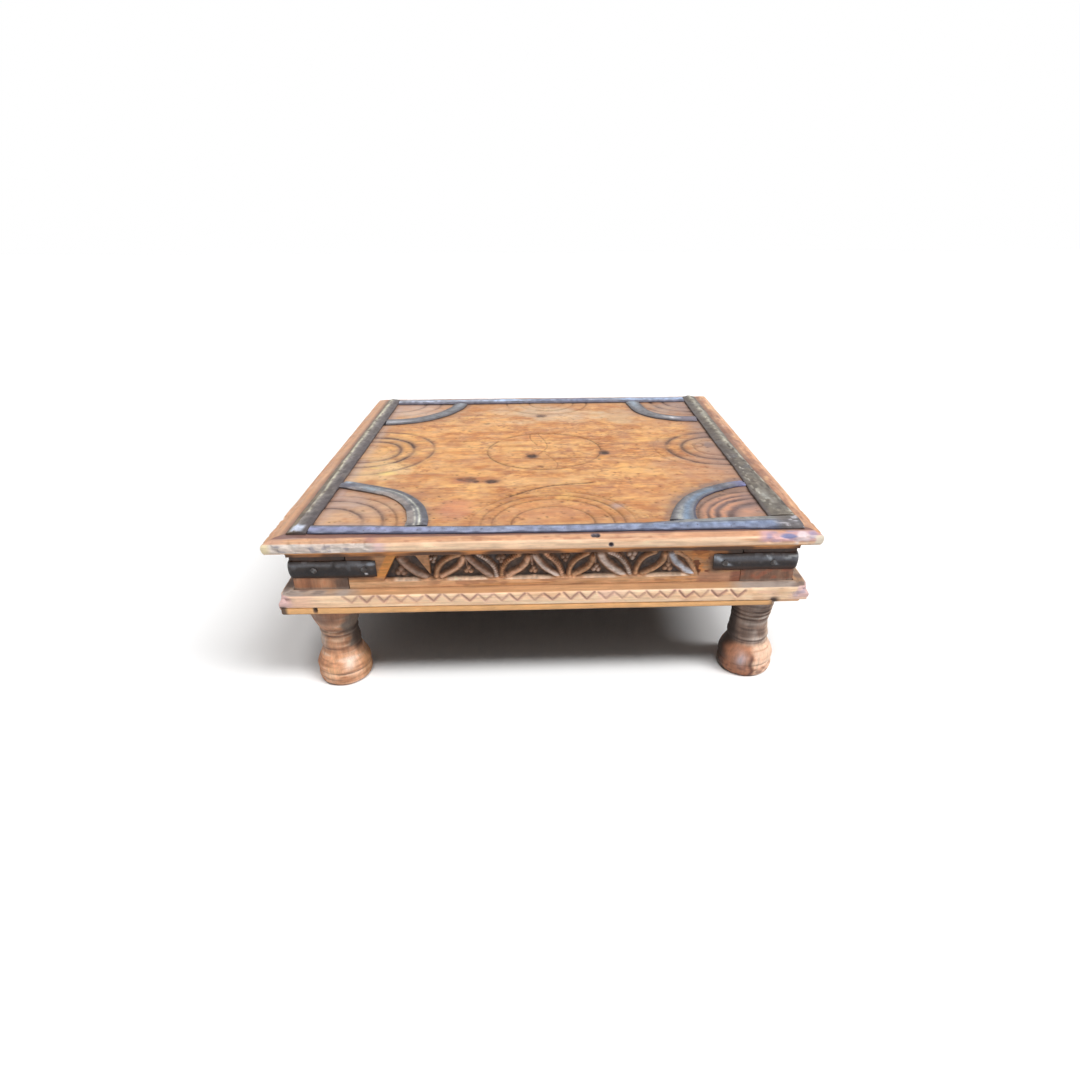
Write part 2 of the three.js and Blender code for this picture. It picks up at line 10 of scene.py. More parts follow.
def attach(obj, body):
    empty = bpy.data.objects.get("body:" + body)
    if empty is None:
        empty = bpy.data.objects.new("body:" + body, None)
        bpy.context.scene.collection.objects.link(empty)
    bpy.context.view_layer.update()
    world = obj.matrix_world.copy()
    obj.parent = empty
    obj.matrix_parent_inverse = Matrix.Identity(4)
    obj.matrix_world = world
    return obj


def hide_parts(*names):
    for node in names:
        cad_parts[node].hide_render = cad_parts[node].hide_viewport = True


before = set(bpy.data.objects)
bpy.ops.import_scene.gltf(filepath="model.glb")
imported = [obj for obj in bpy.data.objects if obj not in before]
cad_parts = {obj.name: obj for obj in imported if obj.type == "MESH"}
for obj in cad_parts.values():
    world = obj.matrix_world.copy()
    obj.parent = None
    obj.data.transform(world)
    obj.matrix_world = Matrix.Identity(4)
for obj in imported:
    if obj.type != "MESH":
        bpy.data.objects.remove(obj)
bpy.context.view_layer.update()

MM = 0.001

# The table's own sizes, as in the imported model
HALF = 300.0
TOP = 204.0
PLANK_END = 269.7
PLANK_FLOOR = 186.3
PLANK_COUNT = 5
TONGUE_REACH = 6
PLANK_JOINTS = [-269.7, -151.03, -43.15, 37.76, 151.03, 269.7]
BASE_FOOT = 110.0
FRIEZE_INSET = 19.0
FRIEZE_TOP = 176.7
BLOCK = 62.0
RAIL_END = 218.96
RAIL_THICKNESS = 22.0
TENON_REACH = 25.7
LEG_MIDDLE = HALF - FRIEZE_INSET - BLOCK / 2
LEG_POINTS = 128
SEAT = 0.3
STRAP_FOOT = TOP + SEAT
STRAP_EDGE = 1.2
SIDE_STRAP_RISE = 4.6
FRONT_STRAP_RISE = 3.6
BACK_STRAP_RISE = 4.0
ARC_RISE = 2.6

# Each side is built as the front is, then turned round the table's middle.
SIDES = {"front": 0, "right": 1, "back": 2, "left": 3}
CORNERS = {
    "front_left": (-1, -1, (("front", -1), ("left", 1))),
    "front_right": (1, -1, (("front", 1), ("right", -1))),
    "back_right": (1, 1, (("back", -1), ("right", 1))),
    "back_left": (-1, 1, (("back", 1), ("left", -1))),
}
QUARTERS = [(1, 0), (0, 1), (-1, 0), (0, -1)]


def turned(points, side):
    """Points built for the front side, turned to where the named side is"""
    c, s = QUARTERS[SIDES[side]]
    x = points[..., 0]
    y = points[..., 1]
    return np.stack([c * x - s * y, s * x + c * y, points[..., 2]], -1)


# Where the straps lie on the top

# The front strap along the front: place, inner edge and outer edge
FRONT_EDGES = [
    (-251.6, -263.2, -282.6), (-200, -265.5, -284.2), (-150, -269.0, -286.0), (-80, -272.0, -288.0),
    (20, -272.0, -289.3), (110, -270.0, -288.6), (160, -264.5, -288.4), (195, -260.5, -288.4),
    (240, -258.5, -289.2), (281.5, -258.0, -290.0),
]
LEFT_EDGES = (-255.0, -277.4)
# The right strap: place, inner edge and outer edge
RIGHT_EDGES = [
    (-290, 250.0, 282.0), (-232, 250.0, 281.0), (-190, 249.6, 279.6), (-157, 250.6, 278.3),
    (-107, 252.0, 275.8), (0, 250.8, 274.8), (290, 250.4, 275.0),
]
BACK_EDGES = (249.0, 275.5)


def edges_at(place, edges):
    table = np.array(edges)
    return np.interp(place, table[:, 0], table[:, 1]), np.interp(place, table[:, 0], table[:, 2])


# The arcs: the middle line from the side strap to the front or back strap, and the width at each end
ARCS = {
    "front_left": ([
        (-254.7, -136.5), (-240, -142), (-217.4, -152.8), (-187, -168.5), (-169.6, -184.5),
        (-158.7, -201.3), (-150, -218.7), (-144.6, -238.3), (-141.8, -255), (-141.0, -268.9),
    ], 21.0, 26.0),
    "front_right": ([
        (250.2, -154), (239, -156.8), (217.4, -166), (195.7, -180.5), (178.3, -198), (166, -218.7),
        (159.5, -238.3), (156, -255), (155, -264.4),
    ], 17.0, 34.0),
    "back_right": ([
        (250.3, 137.5), (235, 138.5), (217.4, 141.6), (195.6, 152), (182, 163), (172.5, 176),
        (165.5, 193), (161, 215), (158, 235), (157, 248.6),
    ], 28.0, 24.0),
    "back_left": ([
        (-254.7, 139), (-235, 140.5), (-213, 146), (-194, 157), (-178, 171.6), (-165, 188),
        (-156.5, 204), (-149, 222), (-145.6, 237), (-144.5, 248.6),
    ], 31.0, 23.0),
}


# Noise and masks

def stack(*columns):
    """Points from their columns, any of which may be one number for all of them"""
    return np.stack(np.broadcast_arrays(*columns), -1)


def lattice(i, j, k, seed):
    h = (i * 374761393 + j * 668265263 + k * 974711 + seed * 69069) & 0xFFFFFFFF
    h = ((h ^ (h >> 13)) * 1274126177) & 0xFFFFFFFF
    return ((h ^ (h >> 16)) & 0xFFFF) / 32767.5 - 1.0


def noise(points, size, seed):
    """Smooth noise from -1 to 1, with features of about the given size"""
    q = points / np.asarray(size, float)
    cell = np.floor(q)
    f = q - cell
    f = f * f * (3 - 2 * f)
    i, j, k = np.moveaxis(cell.astype(np.int64), -1, 0)
    fx, fy, fz = np.moveaxis(f, -1, 0)
    total = np.zeros(fx.shape)
    for a, b, c in itertools.product((0, 1), repeat=3):
        weight = (fx if a else 1 - fx) * (fy if b else 1 - fy) * (fz if c else 1 - fz)
        total += weight * lattice(i + a, j + b, k + c, seed)
    return total


def fractal(points, size, seed, octaves=3):
    total = 0.0
    reach = 0.0
    for n in range(octaves):
        share = 0.5 ** n
        total = total + share * noise(points, np.asarray(size, float) * share, seed + 17 * n)
        reach += share
    return total / reach * 1.6


def rise(value, low, high):
    """0 at low, 1 at high and smooth between them. It falls where low is over high."""
    t = np.clip((value - low) / (high - low), 0, 1)
    return t * t * (3 - 2 * t)


def span(value, start, full, last, end):
    """1 from full to last, and 0 before start and after end"""
    return rise(value, start, full) * rise(value, end, last)


def bump(value, middle, width):
    return np.exp(-((value - middle) / width) ** 2)


def oval(x, y, cx, cy, rx, ry):
    """0 in the middle of an oval and 1 on its edge"""
    return np.hypot((x - cx) / rx, (y - cy) / ry)


def flat(x, y):
    return stack(x, y, 0.0)


def smooth_path(points, steps=8):
    """A curve through the points, as many short straight pieces"""
    p = [np.array(q, float) for q in points]
    p = [2 * p[0] - p[1]] + p + [2 * p[-1] - p[-2]]
    out = []
    for a, b, c, d in zip(p, p[1:], p[2:], p[3:]):
        for t in np.arange(steps) / steps:
            out.append(0.5 * (2 * b + (c - a) * t + (2 * a - 5 * b + 4 * c - d) * t ** 2
                              + (3 * b - a - 3 * c + d) * t ** 3))
    return np.array(out + [p[-2]])


def place_on_path(x, y, path):
    """How far each point is from the path, and how far along the path it is"""
    best = np.full(x.shape, 1e9)
    place = np.zeros(x.shape)
    run = 0.0
    for (ax, ay), (bx, by) in zip(path, path[1:]):
        dx, dy = bx - ax, by - ay
        length = math.hypot(dx, dy)
        t = np.clip(((x - ax) * dx + (y - ay) * dy) / max(length ** 2, 1e-9), 0, 1)
        away = np.hypot(x - ax - t * dx, y - ay - t * dy)
        place = np.where(away < best, run + t * length, place)
        best = np.minimum(best, away)
        run += length
    return best, place


def distance_to_path(x, y, path):
    return place_on_path(x, y, path)[0]


class Paint:
    """The colour and the dark lines at each point of a piece"""

    def __init__(self, points, colour):
        self.points = points.reshape(-1, 3)
        self.tint = np.tile(np.array(colour, float) / 255, (len(self.points), 1))
        self.line = np.zeros(len(self.points))

    def coats(self, *rows):
        """Each row is a colour and the factors of its strength. A factor is a number, a mask, or
        a value and the two limits between which it rises."""
        for colour, *factors in rows:
            strength = 1.0
            for factor in factors:
                strength = strength * (rise(*factor) if isinstance(factor, tuple) else factor)
            share = np.clip(np.ravel(strength), 0, 1)[:, None]
            self.tint += (np.array(colour) / 255 - self.tint) * share

    def scale(self, factor):
        self.tint *= np.ravel(factor)[:, None]


# Meshes

def resample(points, step):
    """The outline with more points, no further apart than step, that keeps its corners"""
    out = []
    for (ax, ay), (bx, by) in zip(points, points[1:]):
        count = max(1, math.ceil(math.hypot(bx - ax, by - ay) / step))
        for n in range(count):
            out.append((ax + (bx - ax) * n / count, ay + (by - ay) * n / count))
    return out + [points[-1]]


def arc(x, y, rx, ry, start, end, steps):
    angles = np.radians(np.linspace(start, end, steps + 1))
    return [(x + rx * math.cos(a), y + ry * math.sin(a)) for a in angles]


def whole_turn(count):
    return np.linspace(0, 2 * np.pi, count, endpoint=False)


def closed_mesh(name, rings):
    """A closed body through rings of points, with its faces turned outwards"""
    count, width = rings.shape[:2]
    points = rings.reshape(-1, 3)
    index = np.arange(count * width).reshape(count, width)
    a, b = index[:-1], index[1:]
    quads = stack(a, np.roll(a, -1, 1), np.roll(b, -1, 1), b).reshape(-1, 4)
    caps = [index[0][::-1], index[-1]]
    p = points[quads]
    volume = np.einsum("ij,ij->", p[:, 0], np.cross(p[:, 1], p[:, 2]))
    volume += np.einsum("ij,ij->", p[:, 0], np.cross(p[:, 2], p[:, 3]))
    for cap in caps:
        c = points[cap]
        volume += np.einsum("j,ij->", c[0], np.cross(c[1:-1], c[2:]))
    if volume < 0:
        quads = quads[:, ::-1]
        caps = [cap[::-1] for cap in caps]
    mesh = bpy.data.meshes.new(name)
    mesh.vertices.add(len(points))
    mesh.vertices.foreach_set("co", (points * MM).astype(np.float32).ravel())
    corners = np.concatenate([quads.ravel()] + caps).astype(np.int32)
    starts = np.append(np.arange(len(quads) + 1) * 4, len(quads) * 4 + width)
    mesh.loops.add(len(corners))
    mesh.loops.foreach_set("vertex_index", corners)
    mesh.polygons.add(len(starts))
    mesh.polygons.foreach_set("loop_start", starts.astype(np.int32))
    mesh.update(calc_edges=True)
    mesh.validate()
    return mesh


def light_of(shown):
    """The light that a screen colour from 0 to 1 stands for"""
    return np.where(shown < 0.04045, shown / 12.92, ((shown + 0.055) / 1.055) ** 2.4)


def add_object(name, mesh, material):
    mesh.materials.append(material)
    item = bpy.data.objects.new(name, mesh)
    bpy.context.scene.collection.objects.link(item)
    return item


def make_piece(name, rings, material, paint, sharp=38.0):
    """A closed body through the rings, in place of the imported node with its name"""
    mesh = closed_mesh("fine_" + name, rings)
    mesh.set_sharp_from_angle(angle=math.radians(sharp))
    colours = np.pad(light_of(np.clip(paint.tint, 0, 1)), ((0, 0), (0, 1)), constant_values=1.0)
    tint = mesh.attributes.new("tint", "FLOAT_COLOR", "POINT")
    tint.data.foreach_set("color", colours.astype(np.float32).ravel())
    line = mesh.attributes.new("line", "FLOAT", "POINT")
    line.data.foreach_set("value", np.clip(paint.line, 0, 1).astype(np.float32))
    piece = add_object("fine_" + name, mesh, material)
    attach(piece, "root")
    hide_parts(name)


# Materials

class Graph:
    """A node tree, and short names for the nodes that it is made of"""

    def __init__(self, tree):
        self.tree = tree

    def put(self, source, socket):
        if isinstance(source, bpy.types.NodeSocket):
            self.tree.links.new(source, socket)
        else:
            socket.default_value = source

    def add(self, kind, inputs=None, **settings):
        node = self.tree.nodes.new(kind)
        for key, value in settings.items():
            setattr(node, key, value)
        for key, source in (inputs or {}).items():
            self.put(source, node.inputs[key])
        return node

    def spread(self, value, low, high, to_low, to_high, **settings):
        inputs = {"Value": value, "From Min": low, "From Max": high, "To Min": to_low, "To Max": to_high}
        return self.add("ShaderNodeMapRange", inputs, **settings).outputs["Result"]

    def maths(self, operation, *values):
        total = values[0]
        for value in values[1:]:
            total = self.add("ShaderNodeMath", {0: total, 1: value}, operation=operation).outputs[0]
        return total

    def times(self, *values):
        return self.maths("MULTIPLY", *values)


class Shader(Graph):
    """A material, whose surface is set through its input names"""

    def __init__(self, name):
        self.material = bpy.data.materials.new(name)
        self.material.use_nodes = True
        super().__init__(self.material.node_tree)
        self.surface = self.tree.nodes["Principled BSDF"].inputs
        self.place = self.add("ShaderNodeTexCoord").outputs["Object"]

    def attribute(self, name, output="Fac"):
        return self.add("ShaderNodeAttribute", attribute_name=name).outputs[output]

    def noise(self, scale, detail=2.0, rough=0.5, distortion=0.0):
        mapping = self.add("ShaderNodeMapping", {"Vector": self.place, "Scale": scale})
        inputs = {"Vector": mapping.outputs["Vector"], "Scale": 1.0, "Detail": detail}
        inputs.update({"Roughness": rough, "Distortion": distortion})
        return self.add("ShaderNodeTexNoise", inputs).outputs["Fac"]

    def scaled(self, colour, factor):
        return self.add("ShaderNodeVectorMath", {0: colour, "Scale": factor}, operation="SCALE").outputs[0]

    def mixed(self, a, b, factor, blend="MIX"):
        inputs = {"Factor": factor, 6: a, 7: b}
        return self.add("ShaderNodeMix", inputs, data_type="RGBA", blend_type=blend).outputs[2]

    def bumped(self, height, distance, strength):
        inputs = {"Distance": distance, "Strength": strength, "Height": height}
        self.put(self.add("ShaderNodeBump", inputs).outputs["Normal"], self.surface["Normal"])


def along(grain, lengthwise, across):
    scale = [across] * 3
    scale["XYZ".index(grain)] = lengthwise
    return scale


def linear(r, g, b):
    return [*light_of(np.array([r, g, b]) / 255), 1.0]


def wood(name, grain, rough=(0.42, 0.62), contrast=0.6):
    """Old oiled wood with its grain along the named axis"""
    s = Shader(name)
    streaks = s.noise(along(grain, 14, 330), 3.0, 0.6, 0.4)
    fibres = s.noise(along(grain, 60, 1500), 2.0, 0.6)
    pores = s.noise(along(grain, 150, 2400), 1.0, 0.5)
    blotches = s.noise([45] * 3, 3.0, 0.6)
    pore = s.spread(pores, 0.66, 0.74, 0.0, 1.0)
    shade = s.times(
        s.spread(streaks, 0.3, 0.7, 1 - 0.17 * contrast, 1 + 0.13 * contrast),
        s.spread(fibres, 0.3, 0.7, 1 - 0.10 * contrast, 1 + 0.08 * contrast),
        s.spread(blotches, 0.3, 0.7, 1 - 0.10 * contrast, 1 + 0.08 * contrast),
        s.spread(pore, 0.0, 1.0, 1.0, 0.72),
    )
    colour = s.scaled(s.attribute("tint", "Color"), shade)
    redness = s.spread(streaks, 0.5, 0.75, 0.0, 0.25 * contrast)
    redder = s.mixed(colour, (0.80, 0.42, 0.22, 1), redness, "MULTIPLY")
    line = s.attribute("line")
    worn_line = s.times(line, s.spread(s.noise([260] * 3), 0.3, 0.55, 0.6, 1.0))
    s.put(s.mixed(redder, linear(62, 44, 36), worn_line), s.surface["Base Color"])
    gloss = s.spread(blotches, 0.35, 0.65, *rough)
    s.put(s.maths("ADD", gloss, s.times(line, 0.2)), s.surface["Roughness"])
    height = s.maths("ADD", s.times(streaks, 0.6), s.times(fibres, 0.5))
    s.bumped(s.maths("SUBTRACT", height, s.times(pore, 0.35)), 0.0007, 0.55)
    return s.material


def iron(name, metal, rough, grit=1.0):
    """Old strap iron, hammered and pitted. On the straps its tint is partly worn bright and partly painted
    highlight and painted reflection.
    """
    s = Shader(name)
    cloud = s.noise([60] * 3, 4.0, 0.65)
    grain = s.noise([520] * 3, 3.0, 0.6)
    pits = s.spread(s.noise([330] * 3, 1.0), 0.66, 0.76, 0.0, 1.0)
    shade = s.times(s.spread(cloud, 0.3, 0.7, 0.82, 1.16), s.spread(grain, 0.3, 0.7, 0.86, 1.12))
    colour = s.scaled(s.attribute("tint", "Color"), shade)
    rusty = s.mixed(colour, linear(70, 50, 38), s.times(pits, 0.6 * grit))
    s.put(s.mixed(rusty, linear(38, 33, 33), s.attribute("line")), s.surface["Base Color"])
    s.put(metal, s.surface["Metallic"])
    s.put(s.spread(cloud, 0.3, 0.7, *rough), s.surface["Roughness"])
    height = s.maths("ADD", s.times(cloud, 1.6), s.times(grain, 0.5))
    s.bumped(s.maths("SUBTRACT", height, s.times(pits, 0.6)), 0.0006, 0.6 * grit)
    return s.material


def hidden_wood(name, grain):
    """Rough sawn wood under the top"""
    s = Shader(name)
    streaks = s.noise(along(grain, 12, 260), 3.0, 0.6, 0.3)
    saw = s.noise(along(grain, 700, 30))
    shade = s.times(s.spread(streaks, 0.3, 0.7, 0.8, 1.15), s.spread(saw, 0.3, 0.7, 0.93, 1.05))
    s.put(s.scaled(linear(80, 77, 75)[:3], shade), s.surface["Base Color"])
    s.put(s.spread(streaks, 0.3, 0.7, 0.65, 0.85), s.surface["Roughness"])
    s.bumped(s.maths("ADD", streaks, s.times(saw, 0.5)), 0.0006, 0.6)
    return s.material


WOODS = {axis: wood("oiled_wood_" + axis.lower(), axis) for axis in "XYZ"}
BARE_WOODS = {axis: wood("worn_wood_" + axis.lower(), axis, (0.5, 0.7), 0.8) for axis in "XYZ"}
CARVED_WOODS = {axis: wood("carved_wood_" + axis.lower(), axis, (0.48, 0.66), 0.9) for axis in "XY"}
TOP_IRON = iron("strap_iron_worn_and_lit", 0.35, (0.38, 0.6))
DARK_IRON = iron("black_iron_worn_and_lit", 0.55, (0.3, 0.5), 0.8)
NAIL_IRON = iron("nail_iron_worn", 0.5, (0.5, 0.65), 0.7)
INNER_WOOD = hidden_wood("inner_wood_sawn", "Y")


def grain_of(side):
    return "XY"[SIDES[side] % 2]


# The marks on the top

# Compass rings: centre, radius, width of the cut and how dark it is
RINGS = [
    (0, -8, 81, 1.5, 0.75),
    (9, -262, 46.5, 1.7, 0.65),
    (9, -262, 68.5, 1.7, 0.6),
    (9, -262, 81, 2.0, 0.65),
    (9, -262, 93, 1.3, 0.4),
    (-252, -6, 30, 1.3, 0.3),
    (-252, -6, 47, 2.8, 0.75),
    (-252, -6, 65.6, 3.0, 0.95),
    (-252, -6, 94.5, 2.2, 0.6),
    (251, -7, 34, 1.8, 0.45),
    (251, -7, 51.4, 3.4, 0.75),
    (251, -7, 73.4, 3.2, 0.8),
    (251, -7, 92, 1.2, 0.3),
    (225, 6, 8, 1.3, 0.6),
    (5, 250, 30, 1.6, 0.5),
    (5, 250, 47, 1.8, 0.65),
    (5, 250, 70, 1.7, 0.55),
    (-252, -260, 50, 2.6, 0.8),
    (-252, -260, 72, 2.4, 0.75),
    (-252, -260, 87, 2.0, 0.6),
    (252, -258, 43, 4.6, 0.8),
    (252, -258, 58, 2.6, 0.75),
    (252, -258, 68, 2.0, 0.65),
    (252, -258, 80, 2.2, 0.6),
    (-252, 250, 45, 2.4, 0.55),
    (-252, 250, 72, 2.4, 0.55),
    (252, 250, 40, 3.0, 0.7),
    (252, 250, 62, 3.6, 0.8),
    (252, 250, 82, 2.2, 0.5),
]
# Rings cut wider than this are stained.
STAINED_WIDTH = 2

# Cut or cracked lines: their points, half width and how dark they are
STROKES = [
    ([(-22, 72), (-20, 45), (-10, 17)], 0.8, 0.7),
    ([(-9, 70), (1, 36), (4, 6), (-9, -28)], 0.8, 0.6),
    ([(1, -20), (12, -48), (18, -70), (15, -90)], 0.8, 0.5),
    ([(-42, -182), (-26, -168), (-2, -153), (22, -145), (60, -139)], 2.2, 0.95),
    ([(-46, -178), (-34, -176), (-22, -166)], 2.0, 0.8),
    ([(-50, -44), (20, -46), (90, -43), (150, -44)], 0.7, 0.6),
    ([(-120, 37), (-40, 40), (60, 38), (100, 40)], 0.6, 0.5),
    ([(60, 40), (92, 41)], 0.9, 0.6),
    ([(-30, -41), (6, -46), (30, -44)], 1.1, 0.7),
]

# Knots: centre, half sizes and darkness
KNOTS = [
    (-17.9, -33, 7.5, 9.5, 1.0),
    (85.7, -23, 6.0, 8.0, 1.0),
    (-4.5, 169.5, 9.0, 8.0, 0.7),
    (-66.5, -130, 8.5, 6.0, 0.95),
    (-97, -124, 9.5, 8.0, 0.55),
    (-88, -130, 4.0, 4.0, 0.7),
    (-108, -121, 5.0, 5.0, 0.5),
    (-5, -78, 4.5, 3.6, 0.4),
    (-91, 130, 5.0, 4.0, 0.3),
]

# Patches of the top that differ in colour: centre, half sizes, colour and strength
PATCHES = [
    (-222, -88, 48, 52, (240, 206, 135), 0.75),
    (-200, -70, 26, 22, (246, 218, 150), 0.5),
    (-225, 20, 60, 60, (236, 192, 130), 0.45),
    (3, 190, 95, 62, (214, 190, 164), 0.7),
    (110, 190, 50, 46, (236, 194, 140), 0.4),
    (210, -92, 62, 66, (200, 142, 112), 0.55),
    (9, -232, 72, 44, (222, 152, 104), 0.6),
    (-105, -222, 42, 36, (196, 134, 106), 0.5),
    (-150, -170, 60, 40, (206, 148, 104), 0.45),
    (-212, 212, 62, 58, (216, 190, 170), 0.85),
    (-212, -216, 60, 50, (202, 162, 136), 0.7),
    (216, -218, 52, 48, (170, 136, 120), 0.8),
    (214, 212, 56, 52, (178, 150, 132), 0.8),
    (-150, 180, 60, 70, (186, 146, 118), 0.55),
    (-120, -15, 60, 26, (222, 156, 96), 0.5),
    (150, -15, 62, 30, (218, 152, 92), 0.6),
    (215, 120, 60, 60, (196, 152, 122), 0.5),
    (-70, 70, 90, 40, (226, 164, 104), 0.4),
    (20, -20, 80, 60, (222, 176, 118), 0.4),
    (0, -110, 110, 26, (232, 182, 126), 0.45),
    (130, 95, 26, 26, (196, 138, 88), 0.45),
    (160, 8, 16, 22, (176, 124, 84), 0.5),
    (130, -12, 13, 34, (236, 164, 92), 0.6),
    (120, -170, 60, 50, (214, 150, 104), 0.5),
]

# Washes over the finished colours: centre, half sizes, colour and strength
WASHES = [
    (-212, -216, 60, 50, (206, 176, 160), 0.5),
    (-236, -178, 30, 34, (190, 168, 164), 0.6),
    (216, -218, 52, 48, (172, 148, 146), 0.45),
    (244, -222, 16, 20, (84, 74, 88), 0.75),
    (-212, 212, 66, 60, (212, 190, 184), 0.55),
    (214, 212, 60, 56, (172, 158, 160), 0.55),
    (3, 190, 105, 66, (208, 190, 178), 0.4),
    (-222, -88, 52, 56, (236, 206, 172), 0.45),
    (236, 4, 34, 110, (182, 150, 142), 0.4),
    (205, -92, 60, 60, (190, 146, 124), 0.3),
    (241, 5, 8, 14, (96, 84, 92), 0.6),
    (85, -215, 12, 14, (190, 170, 180), 0.6),
    (-108, -220, 24, 32, (204, 128, 102), 0.5),
    (9, -232, 60, 34, (226, 168, 126), 0.4),
    (130, 178, 46, 60, (192, 180, 170), 0.35),
    (5, -130, 66, 26, (242, 200, 146), 0.4),
    (-208, -96, 16, 12, (250, 222, 140), 0.7),
    (-224, -76, 14, 8, (248, 216, 130), 0.6),
    (-108, -128, 16, 12, (184, 104, 70), 0.45),
    (165, 6, 20, 24, (164, 118, 96), 0.45),
    (172, -222, 14, 26, (126, 104, 96), 0.5),
]


# The small dents: how many lie about, and how many make a dotted arc round the front rings
PIT_COUNT = 420
DOT_COUNT = 34
DOT_RADIUS = 97
FRONT_CENTRE = (9, -262)


def scattered_pits():
    """Small round dents and stains, mostly over the front and the right of the top"""
    draw = np.random.RandomState(11)
    pits = []
    for _ in range(PIT_COUNT):
        x = draw.uniform(-245, 245)
        y = -250 + 480 * draw.uniform() ** 2.2
        if draw.uniform() < 0.25:
            x = 245 - 150 * draw.uniform() ** 1.5
            y = draw.uniform(-240, 160)
        pits.append((x, y, draw.uniform(0.7, 1.7), draw.uniform(0.35, 0.95)))
    cx, cy = FRONT_CENTRE
    for n in range(DOT_COUNT):
        angle = math.radians(12 + 156 * (n + draw.uniform(-0.3, 0.3)) / (DOT_COUNT - 1))
        radius = DOT_RADIUS + draw.uniform(-2.0, 2.0)
        pits.append((cx + radius * math.cos(angle), cy + radius * math.sin(angle), 1.3, 0.6))
    return pits


PITS = scattered_pits()


def ring_wear(place):
    """How much of the rings is left at each place"""
    return rise(noise(place, 21, 6), -0.75, 0.1) * 0.6 + 0.4


def top_marks(x, y):
    """How far the surface of the top is cut down, and how dark the cuts are"""
    place = flat(x, y)
    depth = np.zeros_like(x)
    dark = np.zeros_like(x)
    wander = 0.8 * noise(place, 34, 5)
    worn = ring_wear(place)
    for cx, cy, radius, width, strength in RINGS:
        away = np.hypot(x - cx, y - cy) - radius - wander
        cut = bump(away, 0, width) * worn
        halo = 0.34 * bump(away, 0, 2.8 * width) * worn
        depth = np.maximum(depth, 0.9 * cut)
        dark = np.maximum(dark, strength * np.maximum(cut, halo))
    for points, width, strength in STROKES:
        away = distance_to_path(x, y, smooth_path(points)) + 0.5 * np.abs(noise(place, 4, 9))
        cut = bump(away, 0, width)
        depth = np.maximum(depth, 1.1 * cut)
        dark = np.maximum(dark, strength * cut)
    for cx, cy, radius, strength in PITS:
        near = (np.abs(x - cx) < 3 * radius) & (np.abs(y - cy) < 3 * radius)
        cut = bump(np.hypot((x[near] - cx) * 0.8, y[near] - cy), 0, radius)
        depth[near] = np.maximum(depth[near], 0.6 * cut)
        dark[near] = np.maximum(dark[near], strength * cut)
    for cx, cy, rx, ry, strength in KNOTS:
        away = oval(x, y, cx, cy, rx, ry) + 0.35 * noise(place, (5, 3.5, 1), 12)
        spot = rise(away, 1.25, 0.5)
        depth = np.maximum(depth, 0.7 * spot)
        dark = np.maximum(dark, strength * spot)
    for joint in PLANK_JOINTS[1:-1]:
        dark = np.maximum(dark, 0.5 * bump(y, joint, 0.8) * rise(noise(place, 40, 14), -0.5, 0.3))
    return depth, dark


def top_swell(x, y):
    """Slow waves of a worn surface, never over its true height"""
    place = flat(x, y)
    waves = 0.5 * noise(place, (160, 60, 1), 21) + 0.25 * noise(place, (50, 18, 1), 22)
    grain = 0.12 * noise(place, (26, 2.6, 1), 23)
    return np.minimum(waves - 0.45 + grain, 0.1)


# Ageing has yellowed the top: its red, green and blue are turned down by this much.
TOP_TONE = np.array([0.985, 0.945, 0.865])


def paint_top_grain(paint, place, blot):
    """Streaks and clouds along the grain, then small flecks that lie in groups"""
    streak = fractal(place, (120, 16, 1), 31)
    cloud = fractal(place, (30, 13, 1), 38)
    grain = fractal(place, (9, 8, 1), 39)
    thread = noise(place, (60, 3.4, 1), 40)
    paint.coats(
        ((196, 132, 80), 0.55, (streak, 0.1, 0.9)),
        ((238, 192, 138), 0.5, (-streak, 0.15, 0.9)),
        ((178, 118, 74), 0.5, (blot, 0.25, 0.9)),
        ((240, 196, 142), 0.4, (-blot, 0.3, 0.9)),
        ((180, 112, 62), 0.55, (cloud, 0.15, 0.9)),
        ((252, 206, 138), 0.5, (-cloud, 0.2, 0.9)),
        ((180, 116, 78), 0.36, (grain, 0.1, 0.8)),
        ((252, 206, 144), 0.3, (-grain, 0.1, 0.8)),
        ((160, 104, 64), 0.35, (thread, 0.5, 0.85), (cloud, -0.6, 0.2)),
    )
    fine = fractal(place, (34, 3.4, 1), 32)
    paint.scale(1 + 0.045 * fine + 0.03 * noise(place, (5, 2.6, 1), 34))
    flecks = noise(place, (4.2, 2.8, 1), 35)
    crumbs = noise(place, (7, 4.4, 1), 36)
    patchy = rise(noise(place, 42, 37), 0.0, 0.6)
    paint.coats(
        ((146, 92, 58), 0.5, (flecks, 0.45, 0.8), 0.15 + 0.85 * patchy),
        ((252, 212, 158), 0.4, (-flecks, 0.45, 0.8), 0.15 + 0.85 * patchy),
        ((156, 96, 62), 0.5, (crumbs, 0.35, 0.8), 0.2 + 0.8 * patchy),
        ((250, 206, 148), 0.25, (-crumbs, 0.35, 0.8)),
    )
    paint.tint *= TOP_TONE
    return grain, fine


